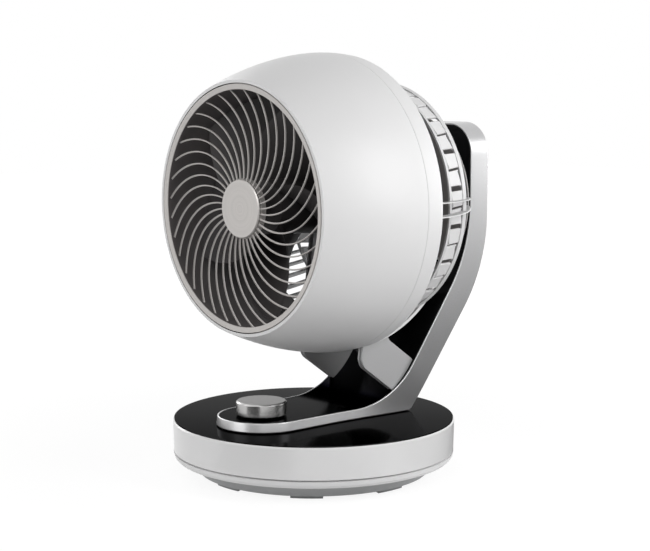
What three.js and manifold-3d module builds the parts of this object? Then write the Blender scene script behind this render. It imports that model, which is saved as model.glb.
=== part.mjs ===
// Air circulator fan: a ball-shaped head on a J-shaped arm over a round base that swings.
// Millimetres, +Z up, and the air blows towards -Y. Heights are above the floor. Depths run
// along Y from the swing axis, and the last lines shift the model to the middle of its footprint.
import * as THREE from "three";
import { mergeVertices } from "three/addons/utils/BufferGeometryUtils.js";
import Module from "manifold-3d";

const wasm = await Module();
wasm.setup();

// ------------------------------------------------------------ driving dimensions
const SEAT_GAP = 0.3; // between pieces that rest on or in each other
const RUN_GAP = 0.4; // round shafts, pins and screws
const ROUND_SIDES = 32; // facets of the large round pieces
const SMALL_SIDES = 12; // facets of shafts and pins
const SCREW_SIDES = 6;

// base, from the floor up
const DRUM_RADIUS = 125;
const BASE_WALL = 2.6;
const PAD_COUNT = 8;
const PAD_HEIGHT = 2.65;
const PAD_WIDTH = 11;
const PAD_ARC_DEG = 16;
const PAD_INSET = 3; // from the skirt's foot
const SKIRT_FOOT_INSET = 22.5; // from the drum's side
const SKIRT_TOP_INSET = 19;
const SKIRT_HEIGHT = 11.75;
const FOOT_FLOOR = 3;
const RING_HEIGHT = 6.6;
const RING_FOOT_INSET = 3.6;
const RING_TOP_INSET = 0.4;
const RING_BULGE = [0.7, 0.35]; // share of the ring's widening at a share of its height
const RING_FLANGE_WIDTH = 10; // from the skirt's top inwards
const SWING_SPLIT = 0.9; // dark gap between the fixed ring and the drum
const DRUM_HEIGHT = 27.3;
const DRUM_CHAMFER = 1;
const PLATE_STEP = 1.4; // top plate above the drum's edge
const PLATE_SPIGOT = 2.4;
const BALLAST_WIDTH = 40;
const BALLAST_HEIGHT = 5;
const GLIDE_WIDTH = 6;

// swing drive
const SPINDLE_RADIUS = 9;
const SPINDLE_CAP_RADIUS = 14;
const SPINDLE_CAP_HEIGHT = 2;
const GEAR_MODULE = 1.5;
const GEAR_PRESSURE_DEG = 20;
const GEAR_DEDENDUM = 1.25; // root below the pitch circle, in modules
const GEAR_TEETH = 33;
const PINION_TEETH = 11;
const GEAR_WIDTH = 5;
const GEAR_BACKLASH = 0.3;
const GEAR_SEAT_WIDTH = 9;
const SWING_MOTOR_RADIUS = 24;
const SWING_MOTOR_HEIGHT = 16;
const SWING_MOTOR_OFFSET = 9; // of its shaft from its middle
const SWING_SHAFT_RADIUS = 3;

// arm: its outline from the side, and half its width
const TONGUE_THICKNESS = 8.4;
const TONGUE_INSET = 1.5; // of its sides from the fork's outer faces
const TONGUE_MARGIN = 26; // from the tongue's round end to the drum's side
const ARM_MARGIN = 5; // beside the fork
const ARM_FLARE = [-17, 90]; // depths between which the tongue widens to the arm
const ARM_CLEARANCE = 11; // to the ball
const ARM_SLANT_DEG = 53.3; // inner face
const ARM_BACK_SLANT_DEG = 51.9;
const ARM_HEEL_OFFSET = 22.6; // from the inner elbow to the outer heel
const ARM_TOP_THICKNESS = 22.4;
const ARM_RISE = 69; // above the head's axis
const ARM_ELBOW_BEND = 82;
const ARM_INNER_BEND = 133;
const ARM_OUTER_BEND = 140;
const ARM_TOP_CORNER = 28;
const ARM_WALL = 3;
const ARM_RIM = 2.2; // silver edge around the inlay
const INLAY_THICKNESS = 2.4;
const INLAY_DROP = 0.5; // below the rim
const INLAY_LEDGE = 4;

// fork that carries the head
const LEG_THICKNESS = 6;
const LEG_CLEARANCE = 5; // beside the motor
const LEG_WIDTH = 31.5;
const LEG_SLANT_DEG = 35;
const LEG_FRONT_CORNER = 38; // height of the front lower corner above the tongue
const LEG_REAR_CORNER = 59; // height of the rear corner above the tongue
const LEG_REACHES = [20, 42]; // lower and upper edge, back into the arm before it is trimmed
const LEG_FRONT_BEND = 13;
const LEG_REAR_BEND = 9;
const EYE_FLAT = 0.2; // between the two bends of the eye's top
const PIVOT_OFFSET = 25.3; // behind the middle of the ball
const TILT_MAX_DEG = 45;
const PIN_RADIUS = 5;
const PIN_HEAD_RADIUS = 8;
const PIN_HEAD_HEIGHT = 1.6;
const PIN_DEPTH = 4; // into the motor's boss
const WASHER_RADIUS = 12;
const WASHER_THICKNESS = 2.4;

// knob and control board
const KNOB_RADIUS = 22;
const KNOB_HEIGHT = 11.8;
const KNOB_CHAMFER = 1.2;
const KNOB_LIFT = 0.8;
const KNOB_SHAFT_RADIUS = 2.5;
const BUSHING_RADIUS = 4.5;
const KNOB_INSET = 2; // in front of the middle of the tongue's round end
const BOARD_SIZE = [64, 50, 1.6];
const BOARD_SHIFT = 10; // behind the knob
const BOARD_LIFT = 9.5;
const BOARD_POST_RADIUS = 3;
const ENCODER_SIZE = [14, 14, 7];

// power inlet in the skirt, and the screws that hold the fixed ring
const GLAND_RADIUS = 3;
const GLAND_FLANGE = 1.2;
const GLAND_LENGTH = 9;
const SCREW_RADIUS = 2;
const SCREW_HEAD_RADIUS = 3.6;
const SCREW_HEAD_HEIGHT = 1.6;
const SCREW_SHY = 0.5; // a screw's end below the face it comes out of
const BOSS_RADIUS = 5;
const RING_SCREW_COUNT = 4;

// head, about its own axis
const HEAD_CLEARANCE = 48; // from the tongue to the ball
const BALL_RADIUS = 131.6;
const BALL_OFFSET = 10; // middle of the ball behind the swing axis, where the covers meet
const FRONT_CUT = 36.5; // of the whole ball that the bezel's face takes away
const BACK_CUT = 24.6; // and the back plate
const LIP_DROP = 23.4; // the front cover closes in by this much
const LIP_POWER = 1.8;
const SHELL_WALL = 2.6;
const SHELL_STEPS = 5;
const BEZEL_WIDTH = 8;
const BEZEL_THICKNESS = 2.6;
const BEZEL_DEPTH = 12;
const BEZEL_ROUND = 1;
const COLLAR_LENGTH = 18;
const COLLAR_STEPS = 2;
const SPIGOT_LENGTH = 6;
const SPIGOT_WALL = 1.5;
const SHOULDER = 1.5; // between the spigot and the collar's inside

// front grille
const VANE_COUNT = 36;
const VANE_THICKNESS = 1.4;
const VANE_DEPTH = 1.4;
const VANE_INSET = 3.4; // behind the bezel's face
const VANE_START_DEG = -6.8;
const VANE_SWEEP_DEG = 35.5;
const VANE_POWER = 1.465;
const VANE_STEPS = 3;
const HUB_RADIUS = 27.3;
const HUB_DEPTH = 6.5;
const CAP_RADIUS = 25.8;
const CAP_THICKNESS = 2.2;

// rear grille
const RIB_COUNT = 68;
const RIB_THICKNESS = 1.7;
const RIB_HEIGHT = 7.5;
const RIB_STEPS = 3;
const BACK_PLATE_THICKNESS = 2.6;
const RIB_DROP = 0.9; // below the collar's surface
const HOOP_DEPTH = 64; // behind the middle of the ball
const HOOP_WIDTH = 4;
const HOOP_THICKNESS = 3;
const TAIL_MARGIN = 5.5; // solid panel beside the slots of the fork
const SLOT_GAP = 1.5;

// air duct, impeller and motor, placed from the middle of the ball
const DUCT_WALL = 2;
const DUCT_BACK = 4;
const TIP_GAP = 4;
const BLADE_COUNT = 5;
const BLADE_THICKNESS = 2;
const BLADE_SPAN_DEG = 96;
const BLADE_OVERHANG = 4.3; // of the blades in front of the hub
const BLADE_SWEEP_DEG = 48; // of the tip behind the root
const BLADE_PHASE_DEG = 66; // of the first blade's root from +X
const BLADE_STEPS = 4;
const ROTOR_HUB_RADIUS = 26;
const ROTOR_HUB_BACK = -4;
const ROTOR_WALL = 3;
const ROTOR_CHAMFER = 3;
const SLEEVE_INSET = 8; // of the shaft's sleeve from the hub's back edge
const SPINNER_RADIUS = 9;
const SPINNER_LENGTH = 8;
const SPINNER_CLEARANCE = 10.9; // to the grille's hub
const MOTOR_RADIUS = 31;
const MOTOR_FRONT = 3;
const MOTOR_BACK = 50;
const MOTOR_CHAMFER = 4;
const MOTOR_SHAFT_RADIUS = 4;
const MOTOR_BORE_DEPTH = 14;
const MOTOR_BOSS_RADIUS = 13;
const MOUNT_RADIUS = 25;
const MOUNT_WALL = 3;
const MOUNT_EYE = 8;
const MOUNT_SCREW_CIRCLE = 15;
const MOUNT_SCREW_COUNT = 4;
const MOUNT_SCREW_LENGTH = 7;

// ------------------------------------------------------------ sizes that follow
const RAD = Math.PI / 180;
const skirtFoot = DRUM_RADIUS - SKIRT_FOOT_INSET;
const skirtRim = DRUM_RADIUS - SKIRT_TOP_INSET;
const flangeRadius = skirtRim - RING_FLANGE_WIDTH;
const footFloorTop = PAD_HEIGHT + FOOT_FLOOR;
const skirtTop = PAD_HEIGHT + SKIRT_HEIGHT;
const flangeTop = skirtTop + BASE_WALL;
const ringTop = skirtTop + RING_HEIGHT;
const drumBottom = ringTop + SWING_SPLIT;
const drumFloorTop = drumBottom + BASE_WALL;
const drumTop = drumBottom + DRUM_HEIGHT;
const plateTop = drumTop + PLATE_STEP;
const tongueTop = plateTop + TONGUE_THICKNESS;

const gearRadius = (GEAR_MODULE * GEAR_TEETH) / 2;
const pinionRadius = (GEAR_MODULE * PINION_TEETH) / 2;
const pinionDepth = gearRadius + pinionRadius;
const gearTop = drumBottom - SWING_SPLIT - SEAT_GAP;
const gearBottom = gearTop - GEAR_WIDTH;
const spindleTop = drumFloorTop + SEAT_GAP;

const headHeight = tongueTop + HEAD_CLEARANCE + BALL_RADIUS;
const pivotDepth = BALL_OFFSET + PIVOT_OFFSET;
const lipRadius = BALL_RADIUS - LIP_DROP;
const openingRadius = lipRadius - BEZEL_WIDTH;
const frontLength = BALL_RADIUS - FRONT_CUT;
const backLength = BALL_RADIUS - BACK_CUT;
const headFront = -frontLength;
const bezelBack = headFront + BEZEL_DEPTH;
const impellerRadius = openingRadius - TIP_GAP;
const vaneFront = headFront + VANE_INSET;
const rotorHubFront = vaneFront + HUB_DEPTH + SPINNER_CLEARANCE + SPINNER_LENGTH + SEAT_GAP;
const backPlateFront = backLength - BACK_PLATE_THICKNESS;
const legInside = MOTOR_RADIUS + LEG_CLEARANCE;
const legOutside = legInside + LEG_THICKNESS;
const tongueHalfWidth = legOutside - TONGUE_INSET;
const armHalfWidth = legOutside + ARM_MARGIN;

const tongueEnd = tongueHalfWidth + TONGUE_MARGIN - DRUM_RADIUS;
const armFront = tongueEnd - tongueHalfWidth;
const armFace = BALL_OFFSET + BALL_RADIUS + ARM_CLEARANCE;
const armBack = armFace + ARM_TOP_THICKNESS;
const armTop = headHeight + ARM_RISE;
const slantSine = Math.sin(ARM_SLANT_DEG * RAD);
const slantCosine = Math.cos(ARM_SLANT_DEG * RAD);
const armElbow =
  BALL_OFFSET +
  (BALL_RADIUS + ARM_CLEARANCE - (headHeight - tongueTop) * slantCosine) / slantSine;
const armHeel = armElbow + ARM_HEEL_OFFSET;
const knobDepth = tongueEnd - KNOB_INSET;

// ------------------------------------------------------------ solids
// A closed geometry as a solid: shared corners merged, collapsed triangles dropped.
function solid(geometry) {
  const bare = geometry.index ? geometry.toNonIndexed() : geometry.clone();
  bare.deleteAttribute("normal");
  bare.deleteAttribute("uv");
  const merged = mergeVertices(bare, 1e-4);
  const corners = merged.index.array;
  const kept = [];
  for (let i = 0; i < corners.length; i += 3) {
    const [a, b, c] = corners.slice(i, i + 3);
    if (a !== b && b !== c && c !== a) kept.push(a, b, c);
  }
  const mesh = new wasm.Mesh({
    numProp: 3,
    vertProperties: merged.attributes.position.array,
    triVerts: new Uint32Array(kept),
  });
  return new wasm.Manifold(mesh);
}

function geometryOf(body) {
  const mesh = body.getMesh();
  const geometry = new THREE.BufferGeometry();
  geometry.setAttribute("position", new THREE.BufferAttribute(mesh.vertProperties, 3));
  geometry.setIndex(new THREE.BufferAttribute(mesh.triVerts, 1));
  const faceted = geometry.toNonIndexed();
  faceted.computeVertexNormals();
  return faceted;
}

const joined = (...bodies) => bodies.flat().reduce((sum, body) => sum.add(body));
const shared = (...bodies) => bodies.reduce((sum, body) => sum.intersect(body));
const times = (count, make) => Array.from({ length: count }, (_, i) => make(i));

const ALONG = {
  X: (geometry) => geometry.rotateZ(-Math.PI / 2),
  Y: (geometry) => geometry,
  Z: (geometry) => geometry.rotateX(Math.PI / 2),
};

// Revolves a closed profile of [radius, place along the axis], then moves it to `at`.
function turned(axis, profile, sides = ROUND_SIDES, at = [0, 0, 0]) {
  const points = profile.map(([radius, place]) => new THREE.Vector2(radius, place));
  if (THREE.ShapeUtils.area(points) < 0) points.reverse();
  points.push(points[0].clone());
  const geometry = ALONG[axis](new THREE.LatheGeometry(points, sides));
  return solid(geometry.translate(...at));
}

const tube = (inner, outer, from, to) => [
  [inner, from],
  [outer, from],
  [outer, to],
  [inner, to],
];
const rod = (radius, from, to) => tube(0, radius, from, to);

const DRAWN_IN = {
  XY: new THREE.Matrix4(),
  YZ: new THREE.Matrix4().set(0, 0, 1, 0, 1, 0, 0, 0, 0, 1, 0, 0, 0, 0, 0, 1),
  XZ: new THREE.Matrix4().set(1, 0, 0, 0, 0, 0, -1, 0, 0, 1, 0, 0, 0, 0, 0, 1),
};

// Extrudes a shape drawn in a plane between two places on the axis square to that plane.
function prism(shape, plane, from, to, curveSegments = 5) {
  const settings = { depth: to - from, bevelEnabled: false, curveSegments };
  const geometry = new THREE.ExtrudeGeometry(shape, settings);
  geometry.translate(0, 0, plane === "XZ" ? -to : from);
  return solid(geometry.applyMatrix4(DRAWN_IN[plane]));
}

function box(size, centre) {
  return solid(new THREE.BoxGeometry(...size).translate(...centre));
}

// A closed outline through corners [u, v, radius], each rounded by its radius.
function outline(corners) {
  const shape = new THREE.Shape();
  const at = (i) => new THREE.Vector2(...corners.at(i % corners.length).slice(0, 2));
  corners.forEach(([, , radius = 0], i) => {
    const here = at(i);
    const back = at(i - 1).sub(here).normalize();
    const ahead = at(i + 1).sub(here).normalize();
    const half = Math.acos(THREE.MathUtils.clamp(back.dot(ahead), -1, 1)) / 2;
    const reach = radius / Math.tan(half);
    const start = here.clone().addScaledVector(back, reach);
    if (i === 0) shape.moveTo(start.x, start.y);
    else shape.lineTo(start.x, start.y);
    if (!radius) return;
    const end = here.clone().addScaledVector(ahead, reach);
    const bisector = back.clone().add(ahead).normalize();
    const centre = here.clone().addScaledVector(bisector, radius / Math.sin(half));
    const from = start.sub(centre).angle();
    const to = end.sub(centre).angle();
    shape.absarc(centre.x, centre.y, radius, from, to, back.cross(ahead) > 0);
  });
  shape.closePath();
  return shape;
}

// The corners of a counter-clockwise outline with side i moved inwards by distances[i].
// Rounded corners keep their centres.
function inset(corners, distances) {
  const count = corners.length;
  const lines = corners.map(([u, v], i) => {
    const [nextU, nextV] = corners[(i + 1) % count];
    const along = new THREE.Vector2(nextU - u, nextV - v).normalize();
    const start = new THREE.Vector2(u - along.y * distances[i], v + along.x * distances[i]);
    return { start, along };
  });
  return corners.map(([, , radius = 0], i) => {
    const before = lines.at(i - 1);
    const after = lines[i];
    const turn = before.along.cross(after.along);
    const step = after.start.clone().sub(before.start).cross(after.along) / turn;
    const corner = before.start.clone().addScaledVector(before.along, step);
    const bend = radius && radius - Math.sign(turn) * distances[i];
    return [corner.x, corner.y, bend];
  });
}

// A blade or fin from a grid of points: the grid, the grid moved by `offset`, and the rim.
function slab(columns, rows, pointAt, offset) {
  const width = rows + 1;
  const layer = (columns + 1) * width;
  const positions = [];
  for (const side of [0, 1]) {
    for (let i = 0; i <= columns; i += 1) {
      for (let j = 0; j <= rows; j += 1) {
        const point = pointAt(i / columns, j / rows);
        positions.push(...point.addScaledVector(offset, side).toArray());
      }
    }
  }
  const index = [];
  const quad = (a, b, c, d) => index.push(a, b, c, a, c, d);
  for (let i = 0; i < columns; i += 1) {
    for (let j = 0; j < rows; j += 1) {
      const a = i * width + j;
      quad(a, a + width, a + width + 1, a + 1);
      quad(a + layer, a + layer + 1, a + layer + width + 1, a + layer + width);
    }
  }
  for (let i = 0; i < columns; i += 1) {
    const low = i * width;
    const high = low + rows;
    quad(low, low + layer, low + width + layer, low + width);
    quad(high, high + width, high + width + layer, high + layer);
  }
  for (let j = 0; j < rows; j += 1) {
    const far = columns * width + j;
    quad(j, j + 1, j + 1 + layer, j + layer);
    quad(far, far + layer, far + 1 + layer, far + 1);
  }
  const geometry = new THREE.BufferGeometry();
  geometry.setAttribute("position", new THREE.Float32BufferAttribute(positions, 3));
  geometry.setIndex(index);
  return geometry;
}

// ------------------------------------------------------------ nodes and groups
const FINISHES = {
  white: [0xeeeff0, 0.28, 0],
  warmGrey: [0xc6c2be, 0.42, 0],
  silver: [0x9c9da0, 0.35, 0.6],
  steel: [0xc9c9c8, 0.3, 0.9],
  brass: [0xb9a46a, 0.35, 0.9],
  black: [0x17181b, 0.12, 0],
  charcoal: [0x38383a, 0.55, 0],
  skirt: [0x86888a, 0.5, 0],
  rubber: [0x55575a, 0.85, 0],
  nylon: [0xe4e2d6, 0.5, 0],
  board: [0x1f5a3c, 0.5, 0],
};

function part(group, name, body, finish) {
  const [color, roughness, metalness] = FINISHES[finish];
  const material = new THREE.MeshStandardMaterial({ color, roughness, metalness });
  const mesh = new THREE.Mesh(geometryOf(body), material);
  mesh.name = name;
  group.add(mesh);
}

const fan = new THREE.Group();
const foot = new THREE.Group();
const turntable = new THREE.Group();
const head = new THREE.Group();
fan.add(foot, turntable, head);
head.position.set(0, BALL_OFFSET, headHeight);

// A headed screw that points up, or along +Y or -Y, with its head's seat at `at`.
function screw(axis, direction, length, at) {
  const profile = [
    [0, -SCREW_HEAD_HEIGHT * direction],
    [SCREW_HEAD_RADIUS, -SCREW_HEAD_HEIGHT * direction],
    [SCREW_HEAD_RADIUS, 0],
    [SCREW_RADIUS, 0],
    [SCREW_RADIUS, length * direction],
    [0, length * direction],
  ];
  return turned(axis, profile, SCREW_SIDES, at);
}

const screwCircle = (count, radius) =>
  times(count, (i) => {
    const turn = (2 * Math.PI * (i + 0.5)) / count;
    return [Math.cos(turn) * radius, Math.sin(turn) * radius];
  });

// ------------------------------------------------------------ fixed foot
const ringScrews = screwCircle(RING_SCREW_COUNT, flangeRadius + BOSS_RADIUS - 1);
const screwSeat = PAD_HEIGHT + SCREW_HEAD_HEIGHT + SEAT_GAP;
const glandHeight = (footFloorTop + skirtTop) / 2;
const glandFace = skirtRim + SEAT_GAP;

function footPlate() {
  const dish = turned("Z", [
    [0, PAD_HEIGHT],
    [skirtFoot, PAD_HEIGHT],
    [skirtRim, skirtTop],
    [skirtRim - BASE_WALL, skirtTop],
    [skirtFoot - BASE_WALL, footFloorTop],
    [0, footFloorTop],
  ]);
  const spindle = turned("Z", [
    [0, PAD_HEIGHT],
    [gearRadius - GEAR_SEAT_WIDTH, PAD_HEIGHT],
    [gearRadius - GEAR_SEAT_WIDTH, gearBottom],
    [SPINDLE_RADIUS, gearBottom],
    [SPINDLE_RADIUS, spindleTop],
    [0, spindleTop],
  ]);
  const bosses = ringScrews.map(([x, y]) =>
    turned("Z", rod(BOSS_RADIUS, PAD_HEIGHT, skirtTop), SCREW_SIDES, [x, y, 0]),
  );
  const bores = ringScrews.map(([x, y]) =>
    joined(
      turned("Z", rod(SCREW_RADIUS + RUN_GAP, 0, flangeTop), SCREW_SIDES, [x, y, 0]),
      turned("Z", rod(SCREW_HEAD_RADIUS + RUN_GAP, 0, screwSeat), SCREW_SIDES, [x, y, 0]),
    ),
  );
  const capBore = turned(
    "Z",
    rod(SCREW_RADIUS + RUN_GAP, footFloorTop, spindleTop + 1),
    SCREW_SIDES,
  );
  const glandAt = [0, 0, glandHeight];
  const glandBoss = rod(GLAND_RADIUS + GLAND_FLANGE, skirtFoot - BASE_WALL, glandFace);
  const glandBore = rod(GLAND_RADIUS + SEAT_GAP, skirtFoot - 2 * BASE_WALL, glandFace + 1);
  return joined(dish, spindle, bosses, turned("Y", glandBoss, SMALL_SIDES, glandAt)).subtract(
    joined(bores, capBore, turned("Y", glandBore, SMALL_SIDES, glandAt)),
  );
}

part(foot, "foot_plate", footPlate(), "skirt");

for (let i = 0; i < PAD_COUNT; i += 1) {
  const middle = (360 / PAD_COUNT) * i;
  const [from, to] = [middle - PAD_ARC_DEG / 2, middle + PAD_ARC_DEG / 2].map((a) => a * RAD);
  const outer = skirtFoot - PAD_INSET;
  const shape = new THREE.Shape();
  shape.absarc(0, 0, outer, from, to, false);
  shape.absarc(0, 0, outer - PAD_WIDTH, to, from, true);
  shape.closePath();
  part(foot, `foot_pad_${i + 1}`, prism(shape, "XY", 0, PAD_HEIGHT, 1), "rubber");
}

const ballastOuter = flangeRadius - SEAT_GAP - BOSS_RADIUS;
const ballastTop = footFloorTop + BALLAST_HEIGHT;
const ballast = tube(ballastOuter - BALLAST_WIDTH, ballastOuter, footFloorTop, ballastTop);
part(foot, "ballast_plate", turned("Z", ballast), "steel");

// The ring bellies out from the skirt to the drum's side and has a flange on the skirt.
function baseRing() {
  const bottom = DRUM_RADIUS - RING_FOOT_INSET;
  const top = DRUM_RADIUS - RING_TOP_INSET;
  const [widening, rise] = RING_BULGE;
  const profile = [
    [flangeRadius, skirtTop],
    [bottom, skirtTop],
    [bottom + (top - bottom) * widening, skirtTop + RING_HEIGHT * rise],
    [top, ringTop],
    [top - BASE_WALL, ringTop],
    [bottom - BASE_WALL, flangeTop],
    [flangeRadius, flangeTop],
  ];
  const bores = ringScrews.map(([x, y]) =>
    turned("Z", rod(SCREW_RADIUS + RUN_GAP, 0, ringTop), SCREW_SIDES, [x, y, 0]),
  );
  return turned("Z", profile).subtract(joined(bores));
}

part(foot, "base_ring", baseRing(), "white");

const glideOuter = skirtRim + GLIDE_WIDTH;
const glide = tube(skirtRim, glideOuter, flangeTop, drumBottom - SEAT_GAP);
part(foot, "glide_ring", turned("Z", glide), "nylon");

ringScrews.forEach(([x, y], i) => {
  const body = screw("Z", 1, flangeTop - screwSeat - SCREW_SHY, [x, y, screwSeat]);
  part(foot, `ring_screw_${i + 1}`, body, "steel");
});

const cap = turned("Z", [
  [0, spindleTop - SPINDLE_RADIUS],
  [SCREW_RADIUS, spindleTop - SPINDLE_RADIUS],
  [SCREW_RADIUS, spindleTop],
  [SPINDLE_CAP_RADIUS, spindleTop],
  [SPINDLE_CAP_RADIUS, spindleTop + SPINDLE_CAP_HEIGHT],
  [0, spindleTop + SPINDLE_CAP_HEIGHT],
], SMALL_SIDES);
part(foot, "spindle_cap", cap, "steel");

const gland = turned("Y", [
  [0, glandFace + GLAND_FLANGE - GLAND_LENGTH],
  [GLAND_RADIUS, glandFace + GLAND_FLANGE - GLAND_LENGTH],
  [GLAND_RADIUS, glandFace],
  [GLAND_RADIUS + GLAND_FLANGE, glandFace],
  [GLAND_RADIUS, glandFace + GLAND_FLANGE],
  [0, glandFace + GLAND_FLANGE],
], SMALL_SIDES, [0, 0, glandHeight]);
part(foot, "cord_gland", gland, "charcoal");

// ------------------------------------------------------------ swing gear and pinion
// Flanks run straight between the involute's points at the root and at the tip circle.
// Tooth 0 is centred on `phase`.
function gearShape(teeth, phase) {
  const pitch = (GEAR_MODULE * teeth) / 2;
  const baseCircle = pitch * Math.cos(GEAR_PRESSURE_DEG * RAD);
  const tip = pitch + GEAR_MODULE;
  const root = pitch - GEAR_DEDENDUM * GEAR_MODULE;
  const involute = (radius) => {
    const pressure = Math.acos(Math.min(1, baseCircle / radius));
    return Math.tan(pressure) - pressure;
  };
  const halfTooth = Math.PI / (2 * teeth) - GEAR_BACKLASH / 2 / pitch;
  const corners = [[root, -1], [tip, -1], [tip, 1], [root, 1]];
  const tooth = (i) =>
    corners.map(([radius, side]) => {
      const aside = side * (halfTooth + involute(pitch) - involute(radius));
      const turn = phase + (2 * Math.PI * i) / teeth + aside;
      return new THREE.Vector2(radius * Math.cos(turn), radius * Math.sin(turn));
    });
  return new THREE.Shape(times(teeth, tooth).flat());
}

const towardsPinion = Math.PI / 2;
const gearBore = turned("Z", rod(SPINDLE_RADIUS + SEAT_GAP, 0, drumTop));
const gear = prism(gearShape(GEAR_TEETH, towardsPinion), "XY", gearBottom, gearTop);
part(foot, "swing_gear", gear.subtract(gearBore), "nylon");

const pinionPhase = -towardsPinion + Math.PI / PINION_TEETH;
const pinionTeeth = prism(gearShape(PINION_TEETH, pinionPhase), "XY", gearBottom, gearTop);
const swingShaftTop = drumFloorTop + SWING_MOTOR_HEIGHT / 2;
const pinionShaft = turned("Z", rod(SWING_SHAFT_RADIUS, gearBottom, swingShaftTop), SMALL_SIDES);
const pinion = new THREE.Group();
pinion.position.y = pinionDepth;
turntable.add(pinion);
part(pinion, "swing_pinion", joined(pinionTeeth, pinionShaft), "brass");

// ------------------------------------------------------------ turning drum
const boardMiddle = knobDepth + BOARD_SHIFT;
const boardPosts = [-1, 1].flatMap((side) =>
  [-1, 1].map((end) => [
    side * (BOARD_SIZE[0] / 2 - BOARD_POST_RADIUS),
    boardMiddle + end * (BOARD_SIZE[1] / 2 - BOARD_POST_RADIUS),
  ]),
);
const boardBottom = drumFloorTop + BOARD_LIFT;

function drumShell() {
  const inner = DRUM_RADIUS - BASE_WALL;
  const cup = turned("Z", [
    [SPINDLE_RADIUS + RUN_GAP, drumBottom],
    [DRUM_RADIUS, drumBottom],
    [DRUM_RADIUS, drumTop - DRUM_CHAMFER],
    [DRUM_RADIUS - DRUM_CHAMFER, drumTop],
    [inner, drumTop],
    [inner, drumFloorTop],
    [SPINDLE_RADIUS + RUN_GAP, drumFloorTop],
  ]);
  const posts = boardPosts.map(([x, y]) =>
    turned("Z", rod(BOARD_POST_RADIUS, drumBottom, boardBottom), SCREW_SIDES, [x, y, 0]),
  );
  const shaftBore = rod(SWING_SHAFT_RADIUS + RUN_GAP, 0, drumTop);
  const shaftHole = turned("Z", shaftBore, SMALL_SIDES, [0, pinionDepth, 0]);
  return joined(cup, posts).subtract(shaftHole);
}

part(turntable, "drum_shell", drumShell(), "white");

const bushingBore = rod(BUSHING_RADIUS + SEAT_GAP, 0, armTop);
const bushingHole = turned("Z", bushingBore, SMALL_SIDES, [0, knobDepth, 0]);

function topPlate() {
  const spigot = DRUM_RADIUS - BASE_WALL - SEAT_GAP;
  const plate = turned("Z", [
    [0, drumTop],
    [spigot - BASE_WALL, drumTop],
    [spigot - BASE_WALL, drumTop - PLATE_SPIGOT],
    [spigot, drumTop - PLATE_SPIGOT],
    [spigot, drumTop],
    [DRUM_RADIUS - DRUM_CHAMFER, drumTop],
    [DRUM_RADIUS - DRUM_CHAMFER, plateTop],
    [0, plateTop],
  ]);
  return plate.subtract(bushingHole);
}

part(turntable, "top_plate", topPlate(), "black");

function swingMotor() {
  const middle = pinionDepth + SWING_MOTOR_OFFSET;
  const can = rod(SWING_MOTOR_RADIUS, drumFloorTop, drumFloorTop + SWING_MOTOR_HEIGHT);
  const bore = rod(SWING_SHAFT_RADIUS + RUN_GAP, 0, swingShaftTop + 1);
  return turned("Z", can, SMALL_SIDES * 2, [0, middle, 0]).subtract(
    turned("Z", bore, SMALL_SIDES, [0, pinionDepth, 0]),
  );
}

part(turntable, "swing_motor", swingMotor(), "steel");

const boardTop = boardBottom + BOARD_SIZE[2];
const encoderTop = boardTop + ENCODER_SIZE[2];
const board = box(BOARD_SIZE, [0, boardMiddle, boardBottom + BOARD_SIZE[2] / 2]);
part(turntable, "control_board", board, "board");

function encoder() {
  const body = box(ENCODER_SIZE, [0, knobDepth, boardTop + ENCODER_SIZE[2] / 2]);
  const bushing = rod(BUSHING_RADIUS, boardTop, tongueTop);
  const bore = rod(KNOB_SHAFT_RADIUS + RUN_GAP, encoderTop - 2, armTop);
  return joined(body, turned("Z", bushing, SMALL_SIDES, [0, knobDepth, 0])).subtract(
    turned("Z", bore, SMALL_SIDES, [0, knobDepth, 0]),
  );
}

part(turntable, "knob_encoder", encoder(), "steel");

// ------------------------------------------------------------ arm and its inlay
const riseTo = (depth, degrees) => depth * Math.tan(degrees * RAD);
const ARM_CORNERS = [
  [armFront, plateTop],
  [armHeel, plateTop],
  [armBack, plateTop + riseTo(armBack - armHeel, ARM_BACK_SLANT_DEG), ARM_OUTER_BEND],
  [armBack, armTop],
  [armFace, armTop],
  [armFace, tongueTop + riseTo(armFace - armElbow, ARM_SLANT_DEG), ARM_INNER_BEND],
  [armElbow, tongueTop, ARM_ELBOW_BEND],
  [armFront, tongueTop],
];

// The arm's side outline across its full width, its inner face and the rest moved inwards.
function armSide(inner, outer) {
  const moved = [outer, outer, outer, outer, inner, inner, inner, outer];
  const corners = inset(ARM_CORNERS, moved);
  return prism(outline(corners), "YZ", -armHalfWidth - 1, armHalfWidth + 1, 4);
}

// The tongue and arm from above and from the front, with their edges moved inwards.
function armPlan(edge) {
  const narrow = tongueHalfWidth - edge;
  const wide = armHalfWidth - edge;
  const [from, to] = ARM_FLARE;
  const third = (to - from) / 3;
  const shape = new THREE.Shape();
  shape.absarc(0, tongueEnd, narrow, Math.PI, 2 * Math.PI, false);
  shape.lineTo(narrow, from);
  shape.bezierCurveTo(narrow, from + third, wide, to - third, wide, to);
  shape.lineTo(wide, armBack + 1);
  shape.lineTo(-wide, armBack + 1);
  shape.lineTo(-wide, to);
  shape.bezierCurveTo(-wide, to - third, -narrow, from + third, -narrow, from);
  shape.closePath();
  return prism(shape, "XY", 0, armTop + 1, 5);
}

function armFrontView(edge) {
  const half = armHalfWidth - edge;
  const corner = ARM_TOP_CORNER - edge;
  const corners = [
    [-half - edge, 0],
    [half + edge, 0],
    [half, armTop - edge, corner],
    [-half, armTop - edge, corner],
  ];
  return prism(outline(corners), "XZ", armFront - 1, armBack + 1, 3);
}

const armBody = (edge, inner, outer) =>
  shared(armSide(inner, outer), armPlan(edge), armFrontView(edge));

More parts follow.
